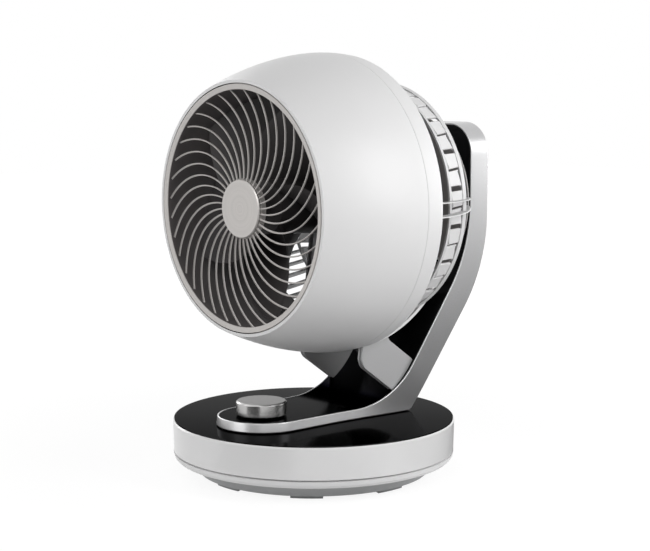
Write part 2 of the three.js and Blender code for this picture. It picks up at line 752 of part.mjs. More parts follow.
function armFrame() {
  const inlayFloor = INLAY_DROP + INLAY_THICKNESS + SEAT_GAP;
  const pocket = armBody(ARM_RIM, -1, -1).subtract(armSide(inlayFloor, -2));
  const hollow = armBody(ARM_RIM + INLAY_LEDGE, 1, ARM_WALL);
  return armBody(0, 0, 0).subtract(joined(pocket, hollow)).subtract(bushingHole);
}

function armInlay() {
  const sheet = armBody(ARM_RIM + SEAT_GAP, INLAY_DROP, -1);
  return sheet.subtract(armSide(INLAY_DROP + INLAY_THICKNESS, -2)).subtract(bushingHole);
}

part(turntable, "arm_frame", armFrame(), "silver");
part(turntable, "arm_inlay", armInlay(), "black");

// ------------------------------------------------------------ fork
// Each leg rises straight from the arm's bend to an eye on the tilt axis.
const legFront = pivotDepth - LEG_WIDTH / 2;
const legRear = pivotDepth + LEG_WIDTH / 2;

function forkLeg(side) {
  const drop = riseTo(1, LEG_SLANT_DEG);
  const frontCorner = tongueTop + LEG_FRONT_CORNER;
  const rearCorner = tongueTop + LEG_REAR_CORNER;
  const eye = LEG_WIDTH / 2 - EYE_FLAT / 2;
  const [low, high] = LEG_REACHES;
  const shape = outline([
    [legFront, frontCorner, LEG_FRONT_BEND],
    [legRear + low, frontCorner - drop * (LEG_WIDTH + low)],
    [legRear + high, rearCorner - drop * high],
    [legRear, rearCorner, LEG_REAR_BEND],
    [legRear, headHeight + eye, eye],
    [legFront, headHeight + eye, eye],
  ]);
  const [from, to] = side < 0 ? [-legOutside, -legInside] : [legInside, legOutside];
  const bore = rod(PIN_RADIUS + RUN_GAP, from - 1, to + 1);
  return prism(shape, "YZ", from, to)
    .subtract(turned("X", bore, SMALL_SIDES, [0, pivotDepth, headHeight]))
    .subtract(armSide(INLAY_DROP - SEAT_GAP, -1));
}

part(turntable, "fork_left", forkLeg(-1), "silver");
part(turntable, "fork_right", forkLeg(1), "silver");

// ------------------------------------------------------------ knob
const knobBottom = tongueTop + KNOB_LIFT;
const knobTop = knobBottom + KNOB_HEIGHT;
const knobShaftTop = knobBottom + KNOB_HEIGHT / 2;
const knob = new THREE.Group();
knob.position.y = knobDepth;
turntable.add(knob);

const knobBody = turned("Z", [
  [0, knobShaftTop + SEAT_GAP],
  [KNOB_SHAFT_RADIUS + SEAT_GAP, knobShaftTop + SEAT_GAP],
  [KNOB_SHAFT_RADIUS + SEAT_GAP, knobBottom],
  [KNOB_RADIUS - KNOB_CHAMFER / 2, knobBottom],
  [KNOB_RADIUS, knobBottom + KNOB_CHAMFER / 2],
  [KNOB_RADIUS, knobTop - KNOB_CHAMFER],
  [KNOB_RADIUS - KNOB_CHAMFER, knobTop],
  [0, knobTop],
]);
part(knob, "knob", knobBody, "steel");
const knobShaft = rod(KNOB_SHAFT_RADIUS, encoderTop - 1, knobShaftTop);
part(knob, "knob_shaft", turned("Z", knobShaft, SMALL_SIDES), "brass");

// ------------------------------------------------------------ head: covers
// Outer radius of the front cover, which closes in towards the bezel.
const coverRadius = (place) => BALL_RADIUS - LIP_DROP * (-place / frontLength) ** LIP_POWER;
// Outer radius of the ball behind the seam.
const ballRadius = (place, radius = BALL_RADIUS) => Math.sqrt(radius ** 2 - place ** 2);

// Places from `from` to `to` along the axis with the radius that a formula gives there.
const curve = (from, to, steps, radiusAt) =>
  times(steps + 1, (i) => {
    const place = from + ((to - from) * i) / steps;
    return [radiusAt(place), place];
  });

const coverFront = headFront + BEZEL_THICKNESS + SEAT_GAP;
const frontCover = [
  ...curve(-SEAT_GAP, coverFront, SHELL_STEPS, coverRadius),
  ...curve(coverFront, -SEAT_GAP, SHELL_STEPS, (place) => coverRadius(place) - SHELL_WALL),
];
part(head, "front_shell", turned("Y", frontCover), "white");

function ductProfile() {
  const front = bezelBack + SEAT_GAP;
  const inner = openingRadius;
  const flange = coverRadius(front) - SHELL_WALL - SEAT_GAP;
  return [
    [inner, front],
    [flange, front],
    [flange, front + DUCT_WALL],
    [inner + DUCT_WALL, front + DUCT_WALL],
    [inner + DUCT_WALL, DUCT_BACK],
    [inner, DUCT_BACK],
  ];
}

part(head, "air_duct", turned("Y", ductProfile()), "charcoal");

// ------------------------------------------------------------ head: front grille
// One swirl vane: straight out at the hub, and swept further the nearer it is to the rim.
function vane() {
  const inner = HUB_RADIUS - 1;
  const outer = openingRadius + 1;
  const edge = (side) => (step) => {
    const share = step / VANE_STEPS;
    const radius = inner + (outer - inner) * share;
    const turn = (VANE_START_DEG + VANE_SWEEP_DEG * share ** VANE_POWER) * RAD;
    const slope = radius * VANE_SWEEP_DEG * RAD * VANE_POWER * share ** (VANE_POWER - 1);
    const lean = Math.atan(slope / (outer - inner));
    const across = (side * VANE_THICKNESS) / 2;
    const aside = turn + Math.PI / 2 + lean;
    return new THREE.Vector2(
      radius * Math.cos(turn) + across * Math.cos(aside),
      radius * Math.sin(turn) + across * Math.sin(aside),
    );
  };
  const left = times(VANE_STEPS + 1, edge(1));
  const right = times(VANE_STEPS + 1, edge(-1));
  const shape = new THREE.Shape([...right, ...left.reverse()]);
  const settings = { depth: VANE_DEPTH, bevelEnabled: false };
  const geometry = new THREE.ExtrudeGeometry(shape, settings);
  geometry.translate(0, 0, -vaneFront - VANE_DEPTH);
  return geometry.applyMatrix4(DRAWN_IN.XZ);
}

function frontGrille() {
  const bezel = turned("Y", [
    [openingRadius, bezelBack],
    [openingRadius, headFront + BEZEL_ROUND],
    [openingRadius + BEZEL_ROUND, headFront],
    [lipRadius - BEZEL_ROUND, headFront],
    [lipRadius, headFront + BEZEL_ROUND],
    [lipRadius, headFront + BEZEL_THICKNESS],
    [openingRadius + DUCT_WALL, headFront + BEZEL_THICKNESS],
    [openingRadius + DUCT_WALL, bezelBack],
  ]);
  const hub = turned("Y", rod(HUB_RADIUS, vaneFront, vaneFront + HUB_DEPTH));
  const blank = vane();
  const step = (-2 * Math.PI) / VANE_COUNT;
  const vanes = times(VANE_COUNT, (i) => solid(blank.clone().rotateY(step * i)));
  return joined(bezel, hub, vanes);
}

part(head, "front_grille", frontGrille(), "warmGrey");

const capFront = vaneFront - CAP_THICKNESS;
const hubCap = turned("Y", [
  [0, vaneFront],
  [CAP_RADIUS, vaneFront],
  [CAP_RADIUS, capFront + CAP_THICKNESS / 2],
  [CAP_RADIUS - CAP_THICKNESS / 2, capFront],
  [0, capFront],
]);
part(head, "hub_cap", hubCap, "steel");

// ------------------------------------------------------------ head: rear grille
const mountScrews = screwCircle(MOUNT_SCREW_COUNT, MOUNT_SCREW_CIRCLE);
const screwBore = rod(SCREW_RADIUS + RUN_GAP, MOTOR_BACK + MOUNT_WALL + 1, backLength + 1);
const mountScrewHoles = joined(
  mountScrews.map(([x, z]) => turned("Y", screwBore, SCREW_SIDES, [x, 0, z])),
);

// The room that a leg needs in the head's own frame while the head tilts.
function forkSlots() {
  const half = LEG_WIDTH / 2 + SLOT_GAP;
  const [near, far] = [MOTOR_RADIUS + SLOT_GAP, 2 * BALL_RADIUS];
  const tilt = (TILT_MAX_DEG + 1) * RAD;
  const shape = new THREE.Shape();
  shape.moveTo(PIVOT_OFFSET - half, -near);
  shape.lineTo(PIVOT_OFFSET - half, -far);
  shape.lineTo(PIVOT_OFFSET + far, -far);
  const swung = (reach) => [
    PIVOT_OFFSET + half * Math.cos(tilt) + reach * Math.sin(tilt),
    half * Math.sin(tilt) - reach * Math.cos(tilt),
  ];
  shape.lineTo(...swung(2 * far));
  shape.lineTo(...swung(near));
  shape.closePath();
  return [-1, 1].map((side) => {
    const [from, to] = [legInside - SLOT_GAP, legOutside + SLOT_GAP];
    return side < 0 ? prism(shape, "YZ", -to, -from) : prism(shape, "YZ", from, to);
  });
}

function rearCover() {
  const spigotOuter = BALL_RADIUS - SHELL_WALL - 2 * SEAT_GAP;
  const inside = (place) => ballRadius(place, BALL_RADIUS - SHELL_WALL);
  const collar = turned("Y", [
    ...curve(0, COLLAR_LENGTH, COLLAR_STEPS, ballRadius),
    ...curve(COLLAR_LENGTH, SHOULDER, COLLAR_STEPS, inside),
    [spigotOuter - SPIGOT_WALL, SHOULDER],
    [spigotOuter - SPIGOT_WALL, -SPIGOT_LENGTH],
    [spigotOuter, -SPIGOT_LENGTH],
    [spigotOuter, 0],
  ]);
  const plate = turned("Y", [
    [0, backPlateFront],
    [ballRadius(backPlateFront), backPlateFront],
    [ballRadius(backLength), backLength],
    [0, backLength],
  ]);
  const hoopOuter = ballRadius(HOOP_DEPTH + HOOP_WIDTH) - RIB_DROP - RIB_HEIGHT + 1;
  const hoopProfile = tube(
    hoopOuter - HOOP_THICKNESS,
    hoopOuter,
    HOOP_DEPTH,
    HOOP_DEPTH + HOOP_WIDTH,
  );
  const tailShell = turned("Y", [
    ...curve(COLLAR_LENGTH - 1, backLength, COLLAR_STEPS * 2, ballRadius),
    ...curve(backPlateFront, COLLAR_LENGTH - 1, COLLAR_STEPS * 2, inside),
  ]);
  const tailHalf = legOutside + SLOT_GAP + TAIL_MARGIN;
  const tailBlock = box(
    [2 * tailHalf, backLength, BALL_RADIUS],
    [0, COLLAR_LENGTH + backLength / 2 - 1, -BALL_RADIUS / 2 - MOTOR_RADIUS],
  );
  const ribCrest = (place) => ballRadius(place) - RIB_DROP;
  const ribEnd = backLength - BACK_PLATE_THICKNESS / 2;
  const ribOutline = new THREE.Shape([
    ...curve(COLLAR_LENGTH - 1, ribEnd, RIB_STEPS, ribCrest),
    ...curve(ribEnd, COLLAR_LENGTH - 1, RIB_STEPS, (place) => ribCrest(place) - RIB_HEIGHT),
  ].map(([radius, place]) => new THREE.Vector2(place, radius)));
  const settings = { depth: RIB_THICKNESS, bevelEnabled: false };
  const blank = new THREE.ExtrudeGeometry(ribOutline, settings);
  blank.translate(0, 0, -RIB_THICKNESS / 2).applyMatrix4(DRAWN_IN.YZ);
  const tailAngle = Math.asin((tailHalf - RIB_THICKNESS) / ballRadius(COLLAR_LENGTH));
  const ribs = times(RIB_COUNT, (i) => (2 * Math.PI * (i + 0.5)) / RIB_COUNT)
    .filter((turn) => Math.abs(turn - Math.PI) > tailAngle)
    .map((turn) => solid(blank.clone().rotateY(turn)));
  const hoop = turned("Y", hoopProfile).subtract(tailBlock);
  return joined(collar, plate, hoop, shared(tailShell, tailBlock), ribs).subtract(
    joined(forkSlots(), mountScrewHoles),
  );
}

part(head, "rear_cover", rearCover(), "white");

// ------------------------------------------------------------ head: motor and its mount
const bossEnd = legInside - WASHER_THICKNESS - 2 * SEAT_GAP;
const onTiltAxis = (side, profile) => {
  const sided = profile.map(([radius, place]) => [radius, side * place]);
  return turned("X", sided, SMALL_SIDES, [0, PIVOT_OFFSET, 0]);
};

function motorHousing() {
  const can = turned("Y", [
    [0, MOTOR_FRONT],
    [MOTOR_RADIUS - MOTOR_CHAMFER, MOTOR_FRONT],
    [MOTOR_RADIUS, MOTOR_FRONT + MOTOR_CHAMFER],
    [MOTOR_RADIUS, MOTOR_BACK - MOTOR_CHAMFER],
    [MOTOR_RADIUS - MOTOR_CHAMFER, MOTOR_BACK],
    [0, MOTOR_BACK],
  ], SMALL_SIDES * 2);
  const boss = onTiltAxis(1, rod(MOTOR_BOSS_RADIUS, -bossEnd, bossEnd));
  const pinHole = rod(PIN_RADIUS + SEAT_GAP, bossEnd - PIN_DEPTH - SEAT_GAP, bossEnd + 1);
  const pinHoles = [-1, 1].map((side) => onTiltAxis(side, pinHole));
  const shaftBore = rod(MOTOR_SHAFT_RADIUS + RUN_GAP, 0, MOTOR_FRONT + MOTOR_BORE_DEPTH);
  return joined(can, boss).subtract(joined(pinHoles, turned("Y", shaftBore, SMALL_SIDES)));
}

part(head, "motor_housing", motorHousing(), "charcoal");

const pinHeadFace = legOutside + SEAT_GAP;
const tiltPin = [
  [0, bossEnd - PIN_DEPTH],
  [PIN_RADIUS, bossEnd - PIN_DEPTH],
  [PIN_RADIUS, pinHeadFace],
  [PIN_HEAD_RADIUS, pinHeadFace],
  [PIN_HEAD_RADIUS, pinHeadFace + PIN_HEAD_HEIGHT],
  [0, pinHeadFace + PIN_HEAD_HEIGHT],
];
const tiltWasher = tube(
  PIN_RADIUS + SEAT_GAP,
  WASHER_RADIUS,
  bossEnd + SEAT_GAP,
  legInside - SEAT_GAP,
);
for (const [name, side] of [["left", -1], ["right", 1]]) {
  part(head, `tilt_pin_${name}`, onTiltAxis(side, tiltPin), "steel");
  part(head, `tilt_washer_${name}`, onTiltAxis(side, tiltWasher), "nylon");
}

function motorMount() {
  const drum = turned("Y", [
    [MOUNT_EYE, MOTOR_BACK],
    [MOUNT_RADIUS, MOTOR_BACK],
    [MOUNT_RADIUS, backPlateFront],
    [MOUNT_EYE, backPlateFront],
    [MOUNT_EYE, backPlateFront - MOUNT_WALL],
    [MOUNT_RADIUS - MOUNT_WALL, backPlateFront - MOUNT_WALL],
    [MOUNT_RADIUS - MOUNT_WALL, MOTOR_BACK + MOUNT_WALL],
    [MOUNT_EYE, MOTOR_BACK + MOUNT_WALL],
  ], ROUND_SIDES / 2);
  return drum.subtract(mountScrewHoles);
}

part(head, "motor_mount", motorMount(), "charcoal");

mountScrews.forEach(([x, z], i) => {
  const at = [x, backLength + SEAT_GAP, z];
  part(head, `mount_screw_${i + 1}`, screw("Y", -1, MOUNT_SCREW_LENGTH, at), "steel");
});

// ------------------------------------------------------------ rotor
const rotor = new THREE.Group();
head.add(rotor);

// The blade is a helical sheet between the hub and the duct, swept with the radius.
function bladeGeometry(turn) {
  const inner = ROTOR_HUB_RADIUS - 1;
  const bladeLength = ROTOR_HUB_BACK - BLADE_THICKNESS - rotorHubFront + BLADE_OVERHANG;
  const pointAt = (across, along) => {
    const radius = inner + (impellerRadius - inner) * across;
    const span = BLADE_SPAN_DEG * (along - 0.5);
    const angle = turn + (BLADE_PHASE_DEG + span - BLADE_SWEEP_DEG * across) * RAD;
    return new THREE.Vector3(
      radius * Math.cos(angle),
      ROTOR_HUB_BACK - bladeLength * along - BLADE_THICKNESS,
      radius * Math.sin(angle),
    );
  };
  const offset = new THREE.Vector3(0, BLADE_THICKNESS, 0);
  return slab(BLADE_STEPS, BLADE_STEPS, pointAt, offset);
}

const rotorBore = turned("Y", rod(MOTOR_SHAFT_RADIUS + SEAT_GAP, headFront, 0), SMALL_SIDES);

function impeller() {
  const webBack = rotorHubFront + 2 * ROTOR_WALL;
  const sleeveRadius = MOTOR_SHAFT_RADIUS + 2 * ROTOR_WALL;
  const hub = turned("Y", [
    [0, rotorHubFront],
    [ROTOR_HUB_RADIUS - ROTOR_CHAMFER, rotorHubFront],
    [ROTOR_HUB_RADIUS, rotorHubFront + ROTOR_CHAMFER],
    [ROTOR_HUB_RADIUS, ROTOR_HUB_BACK],
    [ROTOR_HUB_RADIUS - ROTOR_WALL, ROTOR_HUB_BACK],
    [ROTOR_HUB_RADIUS - ROTOR_WALL, webBack],
    [sleeveRadius, webBack],
    [sleeveRadius, ROTOR_HUB_BACK - SLEEVE_INSET],
    [0, ROTOR_HUB_BACK - SLEEVE_INSET],
  ], ROUND_SIDES / 2);
  const blades = times(BLADE_COUNT, (i) => solid(bladeGeometry((2 * Math.PI * i) / BLADE_COUNT)));
  return joined(hub, blades).subtract(rotorBore);
}

part(rotor, "impeller", impeller(), "charcoal");

const shaftFront = rotorHubFront - SPINNER_LENGTH / 2;
const shaftBack = MOTOR_FRONT + MOTOR_BORE_DEPTH - 1;
const motorShaft = turned("Y", rod(MOTOR_SHAFT_RADIUS, shaftFront, shaftBack), SMALL_SIDES);
part(rotor, "motor_shaft", motorShaft, "steel");

const spinnerBack = rotorHubFront - SEAT_GAP;
const spinner = turned("Y", [
  [0, spinnerBack - SPINNER_LENGTH],
  [SPINNER_RADIUS - ROTOR_CHAMFER, spinnerBack - SPINNER_LENGTH],
  [SPINNER_RADIUS, spinnerBack - SPINNER_LENGTH + ROTOR_CHAMFER],
  [SPINNER_RADIUS, spinnerBack],
  [MOTOR_SHAFT_RADIUS + SEAT_GAP, spinnerBack],
  [MOTOR_SHAFT_RADIUS + SEAT_GAP, shaftFront - SEAT_GAP],
  [0, shaftFront - SEAT_GAP],
], SMALL_SIDES);
part(rotor, "spinner_nut", spinner, "charcoal");

fan.position.y = (DRUM_RADIUS - armBack) / 2;

export default fan;
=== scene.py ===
"""Air circulator fan on a swinging round base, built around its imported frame.

Shapes are given in millimetres, +Z up, with the air blowing towards -Y. The swing axis is
25 mm in front of the origin.
"""

import math

import bmesh
import bpy
import numpy as np
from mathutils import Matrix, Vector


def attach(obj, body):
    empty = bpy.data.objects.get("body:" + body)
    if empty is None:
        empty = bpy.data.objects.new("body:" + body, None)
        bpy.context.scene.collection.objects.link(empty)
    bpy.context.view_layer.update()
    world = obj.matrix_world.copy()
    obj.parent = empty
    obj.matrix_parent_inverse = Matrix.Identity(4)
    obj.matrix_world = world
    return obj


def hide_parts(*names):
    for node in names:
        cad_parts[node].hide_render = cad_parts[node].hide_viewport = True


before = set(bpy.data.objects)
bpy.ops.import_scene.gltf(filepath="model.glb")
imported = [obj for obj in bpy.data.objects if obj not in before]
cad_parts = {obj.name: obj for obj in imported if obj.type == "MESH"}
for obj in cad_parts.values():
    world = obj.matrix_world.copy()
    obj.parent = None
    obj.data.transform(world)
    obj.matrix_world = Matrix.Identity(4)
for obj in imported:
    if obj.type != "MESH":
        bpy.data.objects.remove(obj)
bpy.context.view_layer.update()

# Camera, floor and light ---------------------------------------------------------------
# A long lens a little above the fan, to the right of its front. The floor and the sky are
# plain white, and six soft lamps model the white shell.
camera = bpy.data.objects.new("camera", bpy.data.cameras.new("camera"))
camera.data.lens = 86.71
camera.location = (1.0263, -0.9342, 0.3476)
camera.rotation_euler = (math.radians(90 - 7.17), 0, math.radians(48.04))
bpy.context.collection.objects.link(camera)
bpy.context.scene.camera = camera
bpy.context.scene.view_settings.view_transform = "Standard"


class Shade:
    """A socket of a material. Arithmetic on values adds Math nodes to its tree."""

    def __init__(self, tree, socket=None):
        self.tree = tree
        self.socket = socket

    def node(self, kind, settings=(), sockets=(), output=0):
        """Adds a node: its settings first, then the values or links of its sockets."""
        made = self.tree.nodes.new(kind)
        for name, value in dict(settings).items():
            if name == "stops":
                ramp = made.color_ramp.elements
                while len(ramp) < len(value):
                    ramp.new(0.5)
                for stop, (place, color) in zip(ramp, value):
                    stop.position = place
                    stop.color = (*color, 1)
            else:
                setattr(made, name, value)
        for name, value in dict(sockets).items():
            if isinstance(value, Shade):
                self.tree.links.new(value.socket, made.inputs[name])
            else:
                made.inputs[name].default_value = value
        return Shade(self.tree, made.outputs[output] if made.outputs else None)

    def maths(self, operation, *values):
        """Adds a Math node on values, in the order of its sockets."""
        return self.node("ShaderNodeMath", {"operation": operation}, enumerate(values))

    def __add__(self, other):
        return self.maths("ADD", self, other)

    def __rsub__(self, other):
        return self.maths("SUBTRACT", other, self)

    def __mul__(self, other):
        return self.maths("MULTIPLY", self, other)

    __radd__ = __add__
    __rmul__ = __mul__


def open_material(name):
    """A new material's empty tree, and its Object coordinates."""
    material = bpy.data.materials.new(name)
    material.use_nodes = True
    material.node_tree.nodes.clear()
    shade = Shade(material.node_tree)
    return material, shade, shade.node("ShaderNodeTexCoord", output="Object")


def seen_rays(shade):
    """1 on rays that show the background, in sight, mirrored or through glass, and 0 on others."""
    paths = ("Is Camera Ray", "Is Glossy Ray", "Is Transmission Ray")
    direct, mirrored, through = (shade.node("ShaderNodeLightPath", output=path) for path in paths)
    return shade.maths("MAXIMUM", shade.maths("MAXIMUM", direct, mirrored), through)


def white_ground(name, color):
    """A diffuse ground that takes the shadow, and a share of plain white where it is seen.

    The white's share rises from 0.8 beside the fan to 0.9 from 0.9 m off, where the lamps fade.
    """
    material, shade, place = open_material(name)
    ground = shade.node("ShaderNodeBsdfDiffuse", sockets={"Color": (*color, 1)})
    glow = shade.node("ShaderNodeEmission", sockets={"Color": (1, 1, 1, 1), "Strength": 1.11})
    away = shade.node("ShaderNodeVectorMath", {"operation": "LENGTH"}, {0: place}, output="Value")
    fade = {"Value": away, "From Min": 0.25, "From Max": 0.9, "To Min": 0.8, "To Max": 0.9}
    share = seen_rays(shade) * shade.node("ShaderNodeMapRange", sockets=fade)
    mixed = shade.node("ShaderNodeMixShader", sockets={0: share, 1: ground, 2: glow})
    shade.node("ShaderNodeOutputMaterial", sockets={"Surface": mixed})
    return material


def link_mesh(name, points, faces, material):
    """A mesh object at the origin from points in millimetres."""
    mesh = bpy.data.meshes.new(name)
    mesh.from_pydata(np.asarray(points, float).reshape(-1, 3) / 1000, [], faces)
    mesh.materials.append(material)
    made = bpy.data.objects.new(name, mesh)
    bpy.context.collection.objects.link(made)
    return made


FLOOR_REACH = 4000
floor_corners = [(-1, -1, 0), (1, -1, 0), (1, 1, 0), (-1, 1, 0)]
floor = link_mesh(
    "floor",
    np.array(floor_corners) * FLOOR_REACH,
    [(0, 1, 2, 3)],
    white_ground("floor_white", (0.8, 0.8, 0.8)),
)

CARD_STEPS = 24
CARD_MIDDLE = (0, -50, 1)


def dark_card(name, start, end, near, far):
    """A sector of the floor about the fan, between two angles in degrees, seen in gloss only.

    Point (i, j) is at the radius near or far and at the angle start + (end - start) j / 24.
    """
    turn = np.radians(np.linspace(start, end, CARD_STEPS + 1))
    ring = np.stack([np.cos(turn), np.sin(turn), 0 * turn], -1)
    points = np.concatenate([ring * near, ring * far]) + CARD_MIDDLE
    inner = np.arange(CARD_STEPS)
    outer = inner + CARD_STEPS + 1
    faces = np.stack([inner, inner + 1, outer + 1, outer], -1).tolist()
    material, shade, _ = open_material(name)
    card = shade.node("ShaderNodeBsdfDiffuse", sockets={"Color": (0.02, 0.02, 0.02, 1)})
    shade.node("ShaderNodeOutputMaterial", sockets={"Surface": card})
    made = link_mesh(name, points, faces, material)
    for ray in ("camera", "diffuse", "shadow", "transmission", "volume_scatter"):
        setattr(made, f"visible_{ray}", False)


dark_card("card_front", -104, -50, 160, 2600)
dark_card("card_right", 22, 95, 170, 2600)

sky = bpy.data.worlds.new("sky")
bpy.context.scene.world = sky
sky.use_nodes = True
sky.node_tree.nodes.clear()
sky_shade = Shade(sky.node_tree)
dim_sky = sky_shade.node("ShaderNodeBackground", sockets={0: (1, 1, 1, 1), 1: 0.13})
white_sky = sky_shade.node("ShaderNodeBackground", sockets={0: (1, 1, 1, 1), 1: 1.0})
sky_sockets = {0: seen_rays(sky_shade), 1: dim_sky, 2: white_sky}
sky_mix = sky_shade.node("ShaderNodeMixShader", sockets=sky_sockets)
sky_shade.node("ShaderNodeOutputWorld", sockets={"Surface": sky_mix})

# Each lamp: where it hangs in metres, its size in metres and its power. All face the middle
# of the fan.
LAMP_AIM = Vector((0, 0, 0.2))
LAMPS = {
    "lamp_front": ((-0.3, -2.0, 0.6), (1.2, 1.2), 11.0),
    "lamp_front_high": ((-0.9, -1.5, 1.4), (1.2, 1.2), 4.0),
    "lamp_camera_high": ((1.2, -1.2, 1.6), (1.2, 1.2), 10.0),
    "lamp_right": ((0.75, 0.15, 0.55), (0.3, 0.6), 3.4),
    "lamp_right_back": ((0.9, 1.6, 0.6), (1.0, 1.0), 10.0),
    "lamp_left_back": ((-2.2, 0.3, 1.2), (1.2, 1.2), 18.0),
}
for lamp_name, (lamp_at, lamp_size, lamp_power) in LAMPS.items():
    light = bpy.data.lights.new(lamp_name, "AREA")
    light.shape = "RECTANGLE"
    light.size, light.size_y = lamp_size
    light.energy = lamp_power
    lamp = bpy.data.objects.new(lamp_name, light)
    lamp.location = lamp_at
    lamp.rotation_euler = (LAMP_AIM - lamp.location).to_track_quat("-Z", "Y").to_euler()
    lamp.visible_camera = False
    bpy.context.collection.objects.link(lamp)

# Foot plate, pads and power inlet --------------------------------------------------------
# A moulded grey dish on eight rubber pads. Its skirt leans outwards to the white ring above
# it, and the power lead's inlet sits in the back of the skirt.
SWING_AXIS = np.array([0, -25, 0])
SMOOTH_BELOW = math.radians(35)


def shades(color, darker, lighter, low=0.3, high=0.7):
    """The stops of a ramp from a darker to a lighter shade of a colour."""
    pair = [tuple(part * share for part in color) for share in (darker, lighter)]
    return [(low, pair[0]), (high, pair[1])]


def moulding(name, color, roughness, grain=0.02, size=1400, coat=0.0, specular=0.5, stain=0.03):
    """Moulded plastic: a fine grain in the surface, and a colour that drifts a little."""
    material, shade, place = open_material(name)
    fine = shade.node("ShaderNodeTexNoise", sockets={"Vector": place, "Scale": size, "Detail": 2})
    broad = shade.node("ShaderNodeTexNoise", sockets={"Vector": place, "Scale": 24, "Detail": 3})
    drift = shades(color, 1 - stain, 1 + stain)
    relief = {"Strength": grain, "Distance": 0.001, "Height": fine}
    surface = {
        "Base Color": shade.node("ShaderNodeValToRGB", {"stops": drift}, {"Fac": broad}),
        "Roughness": roughness * (0.9 + 0.2 * broad),
        "Coat Weight": coat,
        "Coat Roughness": 0.3,
        "Specular IOR Level": specular,
        "Normal": shade.node("ShaderNodeBump", sockets=relief),
    }
    finish_material(shade, surface)
    return material


def finish_material(shade, surface):
    """The shader and the output that close a material."""
    shader = shade.node("ShaderNodeBsdfPrincipled", sockets=surface)
    shade.node("ShaderNodeOutputMaterial", sockets={"Surface": shader})


def grid_faces(rows, columns, first=0):
    """Quads of a grid of points, row by row. The last column joins the first."""
    i, j = np.meshgrid(np.arange(rows - 1), np.arange(columns), indexing="ij")
    after = (j + 1) % columns
    quads = [i * columns + j, i * columns + after, (i + 1) * columns + after, (i + 1) * columns + j]
    return (np.stack(quads, -1).reshape(-1, 4) + first).tolist()


def gather(name, grids, material):
    """One mesh from several grids of points."""
    points, faces = [], []
    for grid in grids:
        faces += grid_faces(*grid.shape[:2], sum(map(len, points)))
        points.append(grid.reshape(-1, 3))
    return link_mesh(name, np.concatenate(points), faces, material)


def enlist(made, body, node):
    """Puts a piece under its body's empty and hides the CAD node that it stands for."""
    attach(made, body)
    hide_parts(node)


def piece(name, grids, material, body, node):
    """One visible piece from grids of points: poles are merged and normals point outwards."""
    made = gather(name, grids, material)
    settle(made)
    enlist(made, body, node)


def settle(made, weighted=True):
    """Merges doubles, turns the faces outwards and shades the gentle edges smooth."""
    mesh = bmesh.new()
    mesh.from_mesh(made.data)
    bmesh.ops.remove_doubles(mesh, verts=mesh.verts, dist=2e-6)
    bmesh.ops.dissolve_degenerate(mesh, edges=mesh.edges, dist=1e-7)
    bmesh.ops.recalc_face_normals(mesh, faces=mesh.faces)
    mesh.to_mesh(made.data)
    mesh.free()
    made.data.shade_smooth()
    made.data.set_sharp_from_angle(angle=SMOOTH_BELOW)
    if weighted:
        made.modifiers.new("even_shading", "WEIGHTED_NORMAL").keep_sharp = True


def rounded(corners, closed=True, steps=5):
    """Corners (u, v, radius): each is replaced by an arc of that radius that touches both sides."""
    line = []
    count = len(corners)
    for i, (u, v, radius) in enumerate(corners):
        here = np.array([u, v], float)
        if radius == 0 or (not closed and i in (0, count - 1)):
            line.append(here)
            continue
        back = np.array(corners[i - 1][:2], float) - here
        ahead = np.array(corners[(i + 1) % count][:2], float) - here
        back, ahead = back / np.linalg.norm(back), ahead / np.linalg.norm(ahead)
        half = np.arccos(np.clip(back @ ahead, -1, 1)) / 2
        middle = back + ahead
        centre = here + middle / np.linalg.norm(middle) * radius / np.sin(half)
        start = here + back * radius / np.tan(half) - centre
        turn = np.sign(start[0] * ahead[1] - start[1] * ahead[0]) * (np.pi - 2 * half)
        angles = np.linspace(0, turn, max(steps, int(radius / 3)) + 1)[:, None]
        aside = np.array([-start[1], start[0]])
        line.extend(centre + np.cos(angles) * start + np.sin(angles) * aside)
    return np.array(line)


def revolve(profile, turn, centre, axis):
    """Point (i, j) is the profile's point i, (radius, place), at the angle turn[j]."""
    profile = np.asarray(profile, float)
    radius, place = profile[:, :1], profile[:, 1:] + 0 * turn
    across, up = radius * np.cos(turn), radius * np.sin(turn)
    order = {"Y": [across, place, up], "Z": [across, up, place]}[axis]
    return np.stack(order, -1) + centre


def lathe(profile, centre, axis="Z", sides=192):
    """A profile carried once round its axis: column j is at the angle 2 pi j / sides."""
    return revolve(profile, np.linspace(0, 2 * np.pi, sides, endpoint=False), centre, axis)


def capped(rows):
    """A tube of rows of points, with both ends closed at the middle of their row."""
    first, last = (np.broadcast_to(end.mean(0), end.shape) for end in (rows[0], rows[-1]))
    return np.concatenate([first[None], rows, last[None]])


def arc_bar(section, start, end, centre, axis, steps):
    """A closed section (radius, place) carried along an arc between two angles in degrees."""
    turn = np.radians(np.linspace(start, end, steps + 1))
    return capped(revolve(section, turn, centre, axis).swapaxes(0, 1))


def shut(profile):
    """A profile whose first point is repeated at its end."""
    return np.concatenate([profile, profile[:1]])


skirt_grey = moulding("skirt_grey", (0.42, 0.425, 0.43), 0.5, grain=0.05)
SKIRT = [
    (0, 2.65, 0),
    (102.5, 2.65, 0.8),
    (106, 14.4, 0.4),
    (96.0, 14.4, 0),
    (99.9, 5.65, 0),
    (0, 5.65, 0),
]
skirt_profile = rounded(SKIRT)
INLET_BOSS = rounded([(3.3, 98, 0), (4.2, 98, 0), (4.2, 106.2, 0.3), (3.3, 106.2, 0)])
INLET_AXIS = SWING_AXIS + (0, 0, 10.0)
piece(
    "foot_skirt",
    [lathe(skirt_profile, SWING_AXIS), lathe(shut(INLET_BOSS), INLET_AXIS, "Y", 32)],
    skirt_grey,
    "foot",
    "foot_plate",
)

